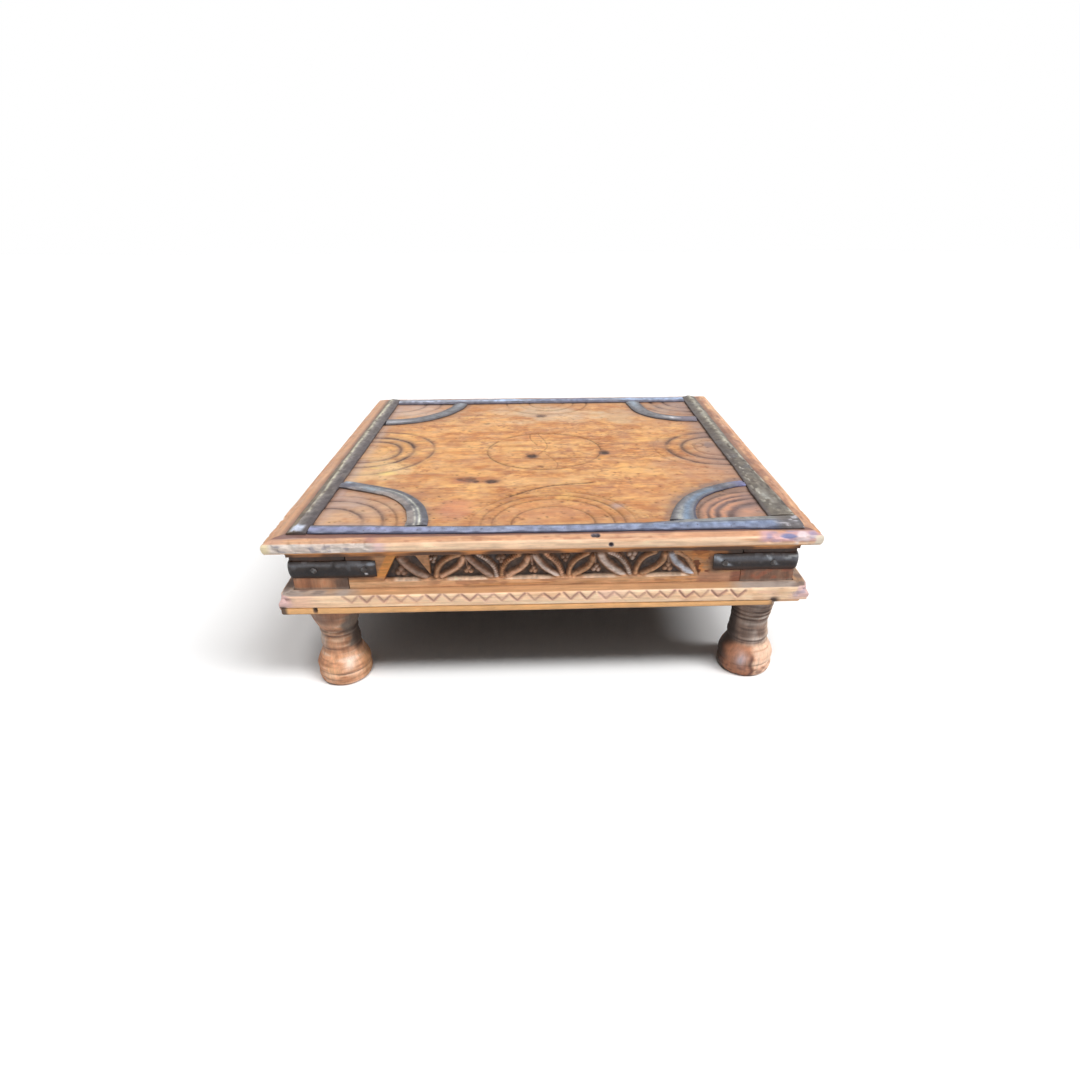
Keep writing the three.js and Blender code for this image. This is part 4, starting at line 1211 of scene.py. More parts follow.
def paint_rail(paint, side, u, z, depth, inside, colour):
    q = flat(u, z)
    streak = fractal(q, (70, 3.2, 1), 101 + SIDES[side])
    blot = fractal(q, (26, 14, 1), 102)
    fine = fractal(q, (12, 1.6, 1), 103)
    lower = rise(z, 144.6, 143.4)
    by_post = rise(np.abs(u), 186, 204)
    paint.coats(
        ((190, 132, 86), 0.55, (streak, 0.1, 0.9)),
        ((226, 174, 122), 0.5, (-streak, 0.1, 0.9)),
        ((164, 112, 78), 0.4, (blot, 0.2, 0.9)),
        ((232, 184, 140), 0.9, lower),
        ((204, 142, 84), 0.5, lower, (fractal(q, (50, 2.2, 1), 104), 0.1, 0.8)),
        ((246, 204, 156), 0.5, lower, (fractal(q, (40, 2.2, 1), 107), 0.2, 0.8)),
        ((170, 118, 92), 0.5, lower, (fractal(q, (16, 4, 1), 109), 0.1, 0.6), (u, -150, -120)),
        ((232, 190, 150), 0.5, lower, (u, -120, -150)),
        ((190, 140, 100), 0.5, (z, 137.6, 136)),
        # Painted shade at the head of the rail, under the top's overhang
        ((120, 84, 58), 0.4, (z, 172.5, 175.5)),
        ((120, 92, 72), 0.55, by_post, (blot, -0.6, 0.5), (z, 144, 150)),
        # Painted shade by the posts over the brackets, under the top's overhang
        ((58, 46, 40), 0.85, by_post, (z, 168.5, 172.5)),
    )
    if side == "front":
        paint_front_rail(paint, u, z, q, blot, fine)
    grit = 1 + 0.10 * noise(q, (2.6, 2.2, 1), 106)
    paint.tint = blend(paint.tint, colour / 255 * grit[:, None], inside)
    # The deepest parts of the carving are painted darker and carry a dark line, painted shade.
    deep_shade = inside * rise(depth, 4.6, 6.4)
    paint.coats(((40, 30, 26), 0.15, deep_shade), ((84, 84, 94), 0.5, deep_shade, (blot, 0.0, 0.5)))
    paint.scale(1 + 0.07 * fine)
    paint.line = 0.25 * inside * rise(depth, 5.2, 6.6)


def rail_rings(u, y, z):
    """Up the face and down the plain back. Past each shoulder the rail shrinks to its tenon."""
    face = FRIEZE_INSET - HALF
    down = z[:, ::-12]
    if down[0, -1] > BASE_FOOT:
        down = np.concatenate([down, z[:, :1]], 1)
    section = np.concatenate([stack(u, y, z), stack(u[:, :1], face + RAIL_THICKNESS, down)], 1)
    tenons = section[[0, 0, -1, -1]]
    tenons[..., 1] = np.clip(tenons[..., 1], face + 6, face + 16)
    tenons[..., 2] = np.clip(tenons[..., 2], BASE_FOOT + 8, FRIEZE_TOP - 8)
    tenons[0, :, 0] -= TENON_REACH
    tenons[3, :, 0] += TENON_REACH
    return np.concatenate([tenons[:2], section, tenons[2:]])


def make_rails():
    u_axis = rail_axis(0.6, 2.4, (-186.0, 186.0), (-RAIL_END, RAIL_END))
    z_axis = rail_axis(0.6, 3.0, (136.5, 176.2), (BASE_FOOT, FRIEZE_TOP))
    u, z = np.meshgrid(u_axis, z_axis, indexing="ij")
    depth, inside, colour = carving(u, z)
    for side in SIDES:
        dents = np.maximum(0.12 - 0.22 * noise(turned(stack(u, 0.0, z), side), (20, 20, 6), 92), 0)
        rings = rail_rings(u, FRIEZE_INSET - HALF + depth + np.where(depth > 0.2, 0, dents), z)
        pads = [(2, 2), (0, rings.shape[1] - z.shape[1])]
        fields = [np.pad(field, pads, mode="edge").ravel() for field in (u, z, depth, inside)]
        shades = np.pad(colour, pads + [(0, 0)], mode="edge").reshape(-1, 3)
        behind = np.zeros(rings.shape[:2], bool)
        behind[:, z.shape[1]:] = True
        rings = turned(rings, side)
        paint = Paint(rings, (214, 160, 114))
        paint_rail(paint, side, *fields, shades)
        paint.coats(((72, 69, 67), behind))
        paint.line[behind.ravel()] = 0
        make_piece("frieze_rail_" + side, rings, CARVED_WOODS[grain_of(side)], paint)


# The legs: a turned foot under a square block

# Each foot: radius and height from the floor up, its soft dark grooves and its pale bands
FOOT_LEFT = [
    (26.0, 0), (28.4, 0.9), (30.6, 3.6), (31.6, 8.0), (31.4, 12.0), (30.8, 14.6), (30.2, 16.0), (31.0, 18.0),
    (31.6, 20.6), (31.2, 24.0), (29.6, 28.6), (27.4, 33.0), (25.6, 37.0), (24.2, 40.2), (23.4, 42.0),
    (23.0, 44.6), (22.6, 47.4), (23.4, 49.6), (23.4, 53.0), (22.9, 57.0), (22.2, 61.0), (21.2, 65.0),
    (22.5, 67.4), (22.8, 69.6), (21.9, 72.2), (23.2, 75.2), (25.0, 79.4), (26.6, 84.0), (28.0, 89.0),
    (29.6, 94.5), (30.6, 100.0), (31.0, 105.0), (30.8, 110.0),
]
FOOT_RIGHT = [
    (27.0, 0), (29.4, 0.9), (31.6, 3.6), (32.8, 8.0), (32.8, 12.0), (32.2, 14.8), (31.6, 16.2), (32.4, 18.0),
    (33.2, 21.0), (32.9, 24.6), (31.4, 29.0), (29.0, 33.6), (26.6, 37.6), (24.8, 40.6), (23.6, 43.0),
    (23.6, 46.0), (24.6, 49.0), (24.2, 53.0), (23.2, 57.0), (23.0, 62.0), (22.6, 66.0), (22.4, 69.0),
    (23.0, 74.6), (22.5, 76.4), (23.4, 78.4), (23.5, 80.5), (22.8, 82.5), (23.7, 84.5), (23.8, 86.2),
    (23.1, 88.0), (24.2, 90.0), (24.5, 94.0), (24.7, 99.0), (24.9, 104.0), (25.2, 110.0),
]
# Groove height, width and darkness, then band height, width and paleness
GROOVES_LEFT = [(9.5, 1.2, 0.5), (16.8, 1.3, 0.75), (47.6, 1.7, 0.75), (56.0, 1.6, 0.35), (65.0, 1.9, 1.0),
                (72.0, 2.6, 0.8), (94.0, 3.0, 0.3)]
BANDS_LEFT = [(13.2, 1.8, 0.6), (52.0, 2.2, 0.3), (60.0, 2.4, 0.65), (69.0, 1.4, 0.4), (84.0, 2.4, 0.6)]
GROOVES_RIGHT = [(10.5, 1.2, 0.5), (17.0, 1.4, 0.8), (24.5, 1.2, 0.35), (48.0, 1.5, 0.8), (56.5, 4.0, 0.5),
                 (76.4, 1.5, 1.0), (82.5, 1.2, 0.9), (88.0, 1.0, 0.85), (95.0, 1.2, 0.6)]
BANDS_RIGHT = [(20.5, 2.4, 0.4), (51.5, 1.6, 0.4), (70.6, 3.2, 0.8), (79.4, 1.2, 0.5), (85.2, 1.0, 0.4)]
# How far the turning of each foot stands off the middle of its block
FOOT_SHIFTS = {"front_left": (0.6, 0.6), "front_right": (-3.2, 0.6), "back_right": (0.0, 0.0),
               "back_left": (0.0, 0.0)}


def square_ring(count, half, round_over):
    """A square with eased corners, as many points as the round below it has"""
    angles = whole_turn(count)
    points = stack(np.cos(angles), np.sin(angles))
    points = points / np.abs(points).max(-1, keepdims=True)
    # Evenly along the sides, not by angle
    points = np.where(np.abs(points) < 1, np.arctan(points) * 4 / np.pi, points)
    corner = rise(np.abs(points).min(-1), 1 - 2.2 * round_over / half, 1.0)
    return points * half * (1 - 0.29 * corner * round_over / half)[:, None]


def leg_rings(corner, middle, profile):
    """Rounds up the turned foot, then squares up the block"""
    angles = whole_turn(LEG_POINTS)
    circle = stack(np.cos(angles), np.sin(angles))
    square = square_ring(LEG_POINTS, BLOCK / 2, 3.0)
    levels = []
    for radius, height in profile[:-1]:
        shift = np.array(FOOT_SHIFTS[corner]) * rise(height, BASE_FOOT, 60)
        levels.append((middle + shift + radius * circle, height))
    levels.append((levels[-1][0], BASE_FOOT - 0.01))
    for height in [BASE_FOOT, *np.arange(134.0, 176.0, 1.2), FRIEZE_TOP]:
        levels.append((middle + square, height))
    return np.array([stack(xy[:, 0], xy[:, 1], height) for xy, height in levels])


def wear_leg(rings, middle, seed):
    foot = rings[..., 2] < BASE_FOOT - 0.005
    out = rings[..., :2] - middle
    wobble = 0.35 * noise(rings, 22, seed) + 0.22 * noise(rings, (7, 7, 5), seed + 1)
    wobble = wobble + 0.10 * noise(rings, (3, 3, 9), seed + 2)
    chips = rise(noise(rings, (9, 9, 6), seed + 3), 0.45, 0.8) * rise(rings[..., 2], 26, 8)
    block_wobble = 0.25 * noise(rings, (4, 4, 30), seed + 4) - 0.25
    change = np.where(foot, wobble - 0.3 - 1.5 * chips, block_wobble)
    grown = 1 + change / np.maximum(np.hypot(out[..., 0], out[..., 1]), 1)
    rings[..., :2] = middle + out * grown[..., None]
    rings[0, :, 2] = 0.0


def leg_fields(points, corner, seed):
    """The heights, masks and noises that the coats on a leg share"""
    z = points[:, 2]
    below = rise(z, 110, 109.5)
    bulb = below * rise(z, 46, 38)
    middle = CORNERS[corner][0] * LEG_MIDDLE + FOOT_SHIFTS[corner][0]
    return SimpleNamespace(
        z=z,
        below=below,
        above=1 - below,
        bulb=bulb,
        neck=below - bulb,
        across=(points[:, 0] - middle) / 32,
        stripe=fractal(points, (7, 7, 60), seed + 5),
        blot=fractal(points, 20, seed + 6),
        turning=fractal(points, (30, 30, 2.2), seed + 8),
        patch=noise(points, (13, 13, 10), seed + 10),
        # Turned marks wander up and down a little round the foot.
        level=z + 1.1 * noise(points, (16, 16, 30), seed + 11),
        broken=rise(noise(points, (12, 12, 4), seed + 12), -0.7, 0.3),
        crumbs=noise(points, (4, 4, 3), seed + 13),
        red=rise(fractal(points, (6, 6, 5), seed + 14), -0.2, 0.5),
    )


def paint_foot(paint, f, grooves, bands):
    paint.coats(
        ((234, 176, 136), 0.85, f.bulb),
        ((200, 146, 112), 0.8, f.neck),
        ((244, 190, 138), 0.55, f.below, (f.blot, 0.0, 0.8)),
        ((170, 114, 78), 0.6, f.below, (-f.blot, 0.1, 0.8)),
        ((240, 212, 190), 0.6, f.below, (f.turning, 0.15, 0.8)),
        ((140, 90, 64), 0.55, f.below, (-f.turning, 0.15, 0.8)),
    )
    for height, width, strength in grooves:
        paint.coats(((96, 68, 54), strength, f.below, bump(f.level, height, width), f.broken))
    # The pale bands are worn and partly painted highlight.
    for height, width, strength in bands:
        paint.coats(((250, 212, 180), strength, f.below, bump(f.level, height, width), (f.patch, -0.6, 0.5)))
    paint.coats(((128, 92, 74), 0.6, f.below, (f.z, 76, 88), (f.patch, -0.6, 0.5)))


def paint_front_left_foot(paint, f):
    # Painted light: a highlight on the bulb's right and a pale highlight down the left of the neck, and
    # painted shade down the neck's right side. The bulb is also darker towards both edges.
    paint.coats(
        ((250, 236, 226), 0.7, f.bulb, bump(f.across, 0.42, 0.2), bump(f.z, 30, 8)),
        ((190, 124, 84), 0.6, f.bulb, (-f.across, 0.5, 0.85)),
        ((166, 118, 76), 0.5, f.bulb, (f.across, 0.7, 0.92)),
        ((96, 90, 84), 0.75, f.neck, (f.across + 0.2 * f.patch, 0.25, 0.5), span(f.z, 46, 52, 92, 98)),
        ((232, 216, 204), 0.8, f.neck, (-f.across, 0.2, 0.55), bump(f.z, 58, 11)),
        ((74, 56, 46), 0.75, f.neck, (f.across, 0.52, 0.66), (f.z, 76, 70)),
    )


def paint_front_right_foot(paint, f):
    """A reddish left side, partly stained and partly painted shade, a pale right side of painted light, a
    grey neck, a dark left edge of painted shade, and a painted shadow under the base
    """
    stain_and_shade = rise(f.across + 0.16 * f.patch + 0.1 * f.blot, 0.2, -0.05)
    rough = f.turning + 0.4 * f.patch
    crack = f.across + 0.08 * f.patch
    edge = -0.5 - 0.36 * rise(f.z, 46, 30)
    paint.coats(
        # The left of the bulb is reddish, partly stained and partly painted shade, and its right is pale,
        # painted light.
        ((172, 112, 82), 0.8, f.bulb, stain_and_shade),
        ((240, 206, 182), 0.7, f.bulb, 1 - stain_and_shade),
        ((196, 140, 112), 0.5, f.bulb, 1 - stain_and_shade, (-rough, 0.1, 0.6)),
        ((198, 186, 196), 0.85, f.bulb, bump(f.across + 0.14 * f.patch, -0.38, 0.24), bump(f.z, 24, 10)),
        ((84, 54, 46), 0.8, f.bulb, bump(crack, -0.02, 0.07), (f.z, 36, 26)),
        ((138, 118, 108), 0.8, f.neck),
        ((196, 184, 176), 0.6, f.neck, (f.patch, 0.0, 0.5), (f.across, -0.4, 0.1)),
        ((228, 216, 206), 0.6, f.neck, (rough, 0.2, 0.6), (f.across, -0.4, 0.3)),
        ((86, 68, 60), 0.6, f.neck, (-rough, 0.1, 0.6)),
        # The right of the neck is pale, painted light.
        ((230, 196, 164), 0.7, f.neck, (f.across, 0.45, 0.68)),
        # Painted shade down the left edge, and a painted shadow under the base
        ((48, 38, 34), 0.85, f.below, (crack, edge + 0.08, edge - 0.2)),
        ((50, 38, 34), 0.8, f.below, (f.z + 2 * f.patch, 102, 107)),
    )
    for height, width, strength in GROOVES_RIGHT:
        paint.coats(((74, 56, 48), 0.8 * strength, f.neck, bump(f.level, height, width), f.broken))
    for height, width, strength in BANDS_RIGHT:
        paint.coats(((204, 190, 180), 0.8 * strength, f.neck, bump(f.level, height, width),
                     (f.across, -0.6, -0.2)))
    paint.coats(((96, 66, 58), 0.5, f.bulb, (f.crumbs, 0.2, 0.6), (f.z, 18, 12)))


def paint_block(paint, corner, f):
    """End-on dark reddish grain, paler where dust lies on the base, and painted shade at its head under the
    top
    """
    paint.coats(
        ((112, 84, 70), 0.6, f.below, (f.z, 3.5, 0.5)),
        ((186, 136, 104), f.above),
        ((136, 92, 70), 0.7, f.above, (f.stripe, 0.05, 0.7)),
        ((222, 172, 134), 0.55, f.above, (-f.stripe, 0.15, 0.8)),
        ((110, 88, 76), 0.5, f.above, (f.blot, 0.0, 0.8)),
    )
    if corner == "front_right":
        paint.coats(((156, 94, 74), 0.75, f.above, f.red), ((100, 78, 70), 0.6, f.above, 1 - f.red))
    if corner == "front_left":
        by_rail = (paint.points[:, 0] + 4 * f.blot, -240, -228)
        paint.coats(((190, 124, 88), 0.5, f.above, f.red), ((92, 76, 68), 0.7, f.above, by_rail))
    paint.coats(
        ((160, 150, 142), 0.6, f.above, (f.z, 139.5, 136.5)),
        # Painted shade over the bracket, under the top's overhang
        ((58, 46, 40), 0.85, f.above, (f.z, 168.5, 172.5)),
    )


def make_legs():
    for corner, (sx, sy, _) in CORNERS.items():
        middle = np.array([sx, sy]) * LEG_MIDDLE
        profile = smooth_path(FOOT_LEFT if sx < 0 else FOOT_RIGHT, 3)
        seed = 110 + 3 * sx + sy
        rings = leg_rings(corner, middle, profile)
        wear_leg(rings, middle, seed)
        paint = Paint(rings, (206, 148, 112))
        f = leg_fields(paint.points, corner, seed)
        paint_foot(paint, f, *((GROOVES_LEFT, BANDS_LEFT) if sx < 0 else (GROOVES_RIGHT, BANDS_RIGHT)))
        if corner == "front_left":
            paint_front_left_foot(paint, f)
        if corner == "front_right":
            paint_front_right_foot(paint, f)
        if sy > 0:
            paint.coats(((140, 104, 80), 0.5, f.below, (f.patch, -0.2, 0.6)))
        paint_block(paint, corner, f)
        paint.scale(1 + 0.08 * fractal(paint.points, (2.4, 2.4, 16), seed + 7))
        make_piece("leg_" + corner, rings, BARE_WOODS["Z"], paint, 50.0)


# The iron straps on the top

def strap_rings(path, across, widths, top, section, seed):
    """A strap along a path. Section gives its height share from -1, its inner edge, to 1."""
    q = np.concatenate([np.linspace(-1, -0.86, 4), np.linspace(-0.8, 0.8, 25), np.linspace(0.86, 1, 4)])
    run = np.concatenate([[0], np.cumsum(np.hypot(*np.diff(path, axis=0).T))])
    q, length = np.broadcast_arrays(q, run[:, None])
    wave = 0.45 * noise(flat(length, 40.0), 13, seed) * np.abs(q) ** 3
    shift = q * (widths[:, None] / 2 - 0.5) + wave
    share = np.clip(section(q, length), 0, 1)
    place = flat(length, shift)
    hammer = 0.32 * noise(place, (15, 7, 1), seed + 1) + 0.14 * noise(place, (4, 3, 1), seed + 2) - 0.3
    height = STRAP_EDGE + (top - STRAP_EDGE) * share + hammer * rise(1 - np.abs(q), 0, 0.25)
    xy = path[:, None] + across[:, None] * shift[..., None]
    upper = stack(xy[..., 0], xy[..., 1], STRAP_FOOT + np.clip(height, 0.5, top))
    rings = np.pad(upper, ((0, 0), (1, 1), (0, 0)), mode="edge")
    rings[:, [0, -1], 2] = STRAP_FOOT
    return rings, *(np.pad(a, ((0, 0), (1, 1)), mode="edge").ravel() for a in (q, length))


def dome(q, length):
    return np.sqrt(np.clip(1 - q ** 2, 0, 1))


# Where the bright ridge lies across each side strap, partly worn bright and partly a painted highlight: run
# from the front end, place, half width
LEFT_RIDGE = ([0, 90, 190, 280, 380, 480, 560], [0.2, 0.17, 0.3, 0.44, 0.36, 0.34, 0.36],
              [0.12, 0.15, 0.18, 0.2, 0.26, 0.28, 0.26])
RIGHT_RIDGE = ([0, 90, 150, 200, 257, 330, 420, 540], [0.8, 0.84, 0.86, 0.6, 0.3, 0.22, 0.12, 0.18],
               [0.12, 0.12, 0.12, 0.2, 0.32, 0.36, 0.38, 0.36])


def ridge_on(q, length, table):
    sway = 0.05 * np.sin(length / 31.0) + 0.04 * np.sin(length / 11.0)
    return bump(q, np.interp(length, table[0], table[1]) + sway, np.interp(length, table[0], table[2]))


def ridged(table):
    """A low dome with a ridge that wanders across it"""
    def section(q, length):
        return 0.72 * dome(q, length) + 0.3 * ridge_on(q, length, table) * (1 - np.abs(q) ** 6)
    return section


def layered(q, length):
    """A flat strap that is a little higher towards its inner edge"""
    return (0.86 - 0.16 * q) * (1 - np.abs(q) ** 5)


def rolled(q, length):
    """A broad soft roll towards the inside with a step down to a flat outer lip"""
    body = np.sqrt(np.clip(1 - ((q + 0.12) / 0.95) ** 2, 0, 1))
    return 0.97 * body * (1 - 0.25 * rise(q, 0.5, 0.8))


def places(start, end, step=1.7):
    return np.linspace(start, end, max(2, int((end - start) / step)))


def paint_left_strap(paint, q, t, x, y):
    p = paint.points
    blot = fractal(p, 18, 121)
    fleck = noise(p, (4, 6, 4), 122)
    streak = noise(p, (4, 14, 4), 120)
    ridge = ridge_on(q, t, LEFT_RIDGE) * rise(y, -245, -225)
    silver_highlight = rise(y, -261, -268) * span(q, -0.75, -0.3, 0.5, 0.9)
    # The pale ridge is partly worn bright and partly a painted highlight; the silver at the front end is a
    # painted highlight.
    paint.coats(
        ((118, 102, 80), 0.9, (q, 0.3, 0.6)),
        ((84, 68, 56), 0.85, (q, 0.8, 0.95)),
        ((112, 104, 102), 0.9, (q, 0.25, -0.1)),
        ((80, 72, 74), 0.85, (q, -0.1, -0.6), (streak + blot, -0.9, 0.1)),
        ((150, 144, 142), 0.5, bump(q, -0.05, 0.14), (blot, 0.0, 0.7)),
        ((72, 62, 58), 0.5, (-streak, 0.2, 0.7)),
        ((196, 190, 168), 0.95, ridge, (fleck, -0.9, -0.1)),
        ((112, 94, 72), 0.5, ridge, (-fleck, 0.35, 0.7)),
        ((204, 212, 230), 0.9, silver_highlight, (y, -281.5, -279)),
    )


def paint_right_strap(paint, q, t, x, y):
    p = paint.points
    blot = fractal(p, 20, 123)
    fleck = noise(p, (3.4, 6, 3.4), 124)
    streak = noise(p, (4, 14, 4), 119)
    paint.coats(
        ((112, 103, 91), 0.9),
        ((92, 82, 74), 0.8, (q, 0.1, -0.5), (y, -140, -90)),
        ((96, 86, 84), 0.8, (q, -0.6, -0.9)),
        ((88, 76, 64), 0.7, (q, 0.75, 0.95), (y, -60, 0)),
        ((150, 146, 136), 0.5, (streak, 0.1, 0.7), (y, -100, -150), (q, -0.2, 0.3)),
        ((78, 68, 62), 0.5, (-streak, 0.2, 0.7)),
        ((96, 84, 74), 0.6, (q, 0.6, 0.95)),
        ((100, 98, 104), 0.5, (blot, 0.2, 0.8)),
        # The pale crest along the ridge is partly worn bright and partly a painted highlight.
        ((184, 179, 162), 0.9, ridge_on(q, t, RIGHT_RIDGE), (fleck, -0.6, 0.1), (blot, -1.0, -0.1)),
        ((210, 204, 190), 0.75, bump(q, -0.45, 0.3), (fleck, 0.3, 0.55), (y, -20, -60)),
        ((78, 68, 60), 0.6, (-fleck, 0.35, 0.7)),
        ((186, 186, 180), 0.7, bump(q, -0.1, 0.45), bump(y, -205, 30), (blot, -0.6, 0.2)),
    )


def paint_front_strap(paint, q, t, x, y):
    fleck = noise(paint.points, (6, 4, 4), 129)
    wave = noise(flat(t, 0.0), (12, 1, 1), 126)
    # The blue-lavender tones along the strap are a painted sky reflection, and the grey-green along its
    # inner edge at the right is a painted highlight.
    paint.coats(
        ((138, 146, 174), 0.9, bump(q, 0.2, 0.6)),
        ((120, 138, 170), 0.5, bump(q, 0.2, 0.6), (x, 60, 140)),
        ((150, 150, 192), 0.6, bump(q, 0.1, 0.4), (x, -100, -160)),
        ((172, 184, 204), 0.6, bump(q, 0.0, 0.3), (fleck, 0.0, 0.6), (x, -120, -60)),
        ((80, 74, 78), 0.9, (q, -0.35, -0.8), (x, 150, 110)),
        ((140, 138, 130), 0.8, (q, -0.1, -0.5), (x, 120, 160)),
        ((80, 78, 80), 0.6, bump(q, -0.15, 0.12), (x, 150, 180)),
        ((70, 72, 92), 0.9, (q, 0.66 + 0.14 * wave, 0.9 + 0.1 * wave)),
        ((104, 96, 92), 0.8, (x, 248, 262)),
        ((214, 210, 218), 0.8, (x, 248, 262), (fleck, 0.2, 0.5)),
    )


def paint_back_strap(paint, q, t, x, y):
    p = paint.points
    fleck = noise(p, (7, 5, 5), 128)
    middle = span(x, -170, -130, 130, 160)
    # The blue tones are a painted sky reflection.
    paint.coats(
        ((178, 184, 204), 0.8, bump(q, -0.15, 0.5)),
        ((104, 112, 142), 0.7, span(x, -40, 0, 90, 130), (fleck, -0.8, 0.2)),
        ((160, 178, 210), 0.8, (x, 120, 150)),
        ((176, 200, 234), 0.85, bump(x, -62, 34), bump(q, -0.1, 0.5)),
        ((196, 206, 224), 0.6, 1 - middle, (fleck, 0.1, 0.6)),
        ((118, 112, 114), 0.85, middle, (q, 0.25, 0.6)),
        ((92, 88, 100), 0.85, (q, -0.5, -0.9)),
        ((140, 134, 136), 0.4, (fractal(p, 24, 127), 0.2, 0.8)),
    )


def make_strap(name, edges, across, top, section, colour, painter, seed):
    """A strap between its inner and outer edges, each a line of points"""
    inner, outer = (np.stack(np.broadcast_arrays(*edge), -1) for edge in edges)
    path = (inner + outer) / 2
    widths = np.linalg.norm(outer - inner, axis=1)
    turns = np.tile(np.array(across, float), (len(path), 1))
    rings, q, t = strap_rings(path, turns, widths, top, section, seed)
    paint = Paint(rings, colour)
    painter(paint, q, t, paint.points[:, 0], paint.points[:, 1])
    paint.scale(1 + 0.16 * noise(paint.points, (5, 6, 4), 150))
    make_piece("edge_strap_" + name, rings, TOP_IRON, paint, 60.0)


def make_edge_straps():
    side_colour = (134, 126, 122)
    y = places(-282.8, 275.8)
    make_strap("left", [(edge, y) for edge in LEFT_EDGES], (-1, 0), SIDE_STRAP_RISE, ridged(LEFT_RIDGE),
               side_colour, paint_left_strap, 131)
    y = places(-257.4, 275.8)
    make_strap("right", [(edge, y) for edge in edges_at(y, RIGHT_EDGES)], (1, 0), SIDE_STRAP_RISE,
               ridged(RIGHT_RIDGE), side_colour, paint_right_strap, 131)
    x = places(-254.6, 280.9)
    make_strap("front", [(x, edge) for edge in edges_at(x, FRONT_EDGES)], (0, -1), FRONT_STRAP_RISE, rolled,
               (128, 130, 146), paint_front_strap, 141)
    right_end = edges_at(sum(BACK_EDGES) / 2, RIGHT_EDGES)[0]
    x = places(LEFT_EDGES[0] + SEAT, right_end - SEAT)
    make_strap("back", [(x, edge) for edge in BACK_EDGES], (0, 1), BACK_STRAP_RISE, dome, (128, 130, 140),
               paint_back_strap, 151)


def paint_arc(paint, corner, q, share):
    """Share runs from the side strap, 0, to the front or back strap, 1"""
    blot = fractal(paint.points, 16, 161)
    fleck = noise(paint.points, (5, 5, 5), 163)
    # The blue and pale blue-grey tones are a painted sky reflection, and the pale crests are partly worn
    # bright and partly a painted highlight.
    coats = {
        # Dark outside, a pale crest, then greys that lighten towards the inside
        "front_left": [
            ((162, 150, 144), 0.85, (q, 0.0, 0.5)),
            ((134, 132, 134), 0.7, bump(q, 0.1, 0.2)),
            ((92, 92, 100), 0.9, (q, -0.3, -0.62)),
            ((78, 76, 84), 0.6, (blot, 0.0, 0.7)),
            ((212, 212, 198), 0.9, bump(q, -0.2, 0.12), (share, 0.3, 0.42), (fleck, -0.9, -0.1)),
            ((206, 202, 188), 0.75, bump(q, 0.22, 0.1), (share, 0.6, 0.75), (fleck, -0.9, -0.1)),
            ((176, 190, 200), 0.85, bump(share, 0.24, 0.07), bump(q, 0.25, 0.5)),
            ((92, 94, 112), 0.85, bump(share, 0.06, 0.07), bump(q, 0.3, 0.6)),
            ((158, 172, 186), 0.8, bump(share, 0.04, 0.05), (q, -0.1, -0.5)),
        ],
        "front_right": [
            ((122, 144, 170), 0.8, bump(q, 0.2, 0.45), (share, 0.12, 0.3)),
            ((176, 176, 170), 0.85, bump(q, -0.35, 0.24), (share, 0.7, 0.84), (fleck, -0.9, 0.0)),
            ((94, 90, 92), 0.85, (q, -0.6, -0.9)),
            ((72, 72, 90), 0.85, (q, 0.7, 0.9)),
            ((118, 118, 160), 0.8, (share, 0.18, 0.02)),
            ((86, 84, 96), 0.7, bump(share, 0.24, 0.06)),
        ],
        "back_left": [
            ((84, 80, 84), 0.8, (np.abs(q), 0.45, 0.85)),
            ((204, 204, 212), 0.7, bump(q, -0.3, 0.35), (share, 0.35, 0.1)),
            ((112, 116, 122), 0.6, bump(share, 0.5, 0.3), bump(q, -0.1, 0.5)),
            ((152, 160, 172), 0.6, (share, 0.7, 0.9), bump(q, -0.1, 0.4)),
        ],
        "back_right": [
            ((84, 80, 84), 0.8, (np.abs(q), 0.45, 0.85)),
            ((150, 166, 182), 0.8, (share, 0.6, 0.9), bump(q, -0.1, 0.6)),
            ((222, 220, 224), 0.75, bump(share, 0.24, 0.07), bump(q, -0.2, 0.4)),
            ((118, 108, 120), 0.75, (share, 0.25, 0.1)),
        ],
    }
    paint.coats(((150, 148, 150), 0.6, bump(q, -0.1, 0.4), (blot, -0.6, 0.5)), *coats[corner])


def make_arcs():
    for corner, (sx, sy, _) in CORNERS.items():
        points, side_width, end_width = ARCS[corner]
        path = smooth_path(points, 12)
        run = np.gradient(path, axis=0)
        away = stack(run[:, 1], -run[:, 0]) * sx * sy
        away = away / np.linalg.norm(away, axis=1)[:, None]
        # Each end is cut along the strap that it meets.
        away[0] = (0, -sy)
        away[-1] = (-sx, 0)
        share = np.linspace(0, 1, len(path)) ** (2.2 if sy < 0 else 0.5)
        widths = side_width + (end_width - side_width) * share
        section = layered if sy < 0 else dome
        rings, q, t = strap_rings(path, away, widths, ARC_RISE, section, 171 + sx + 2 * sy)
        paint = Paint(rings, (118, 116, 120))
        paint_arc(paint, corner, q, t / t.max())
        grit = 0.16 * noise(paint.points, (6, 6, 4), 166) + 0.08 * noise(paint.points, (3, 3, 3), 167)
        paint.scale(1 + grit)
        make_piece("arc_strap_" + corner, rings, TOP_IRON, paint, 60.0)


# The iron straps round the corners of the frieze, and their nails

STRAP_MIDDLE = 161.0
STRAP_HALF = 11.0
STRAP_BULGE = 2.6
CORNER_REACH = 94.0
# The posts' own corners are rounded by this radius, and the straps follow them.
POST_ROUND = 3.0


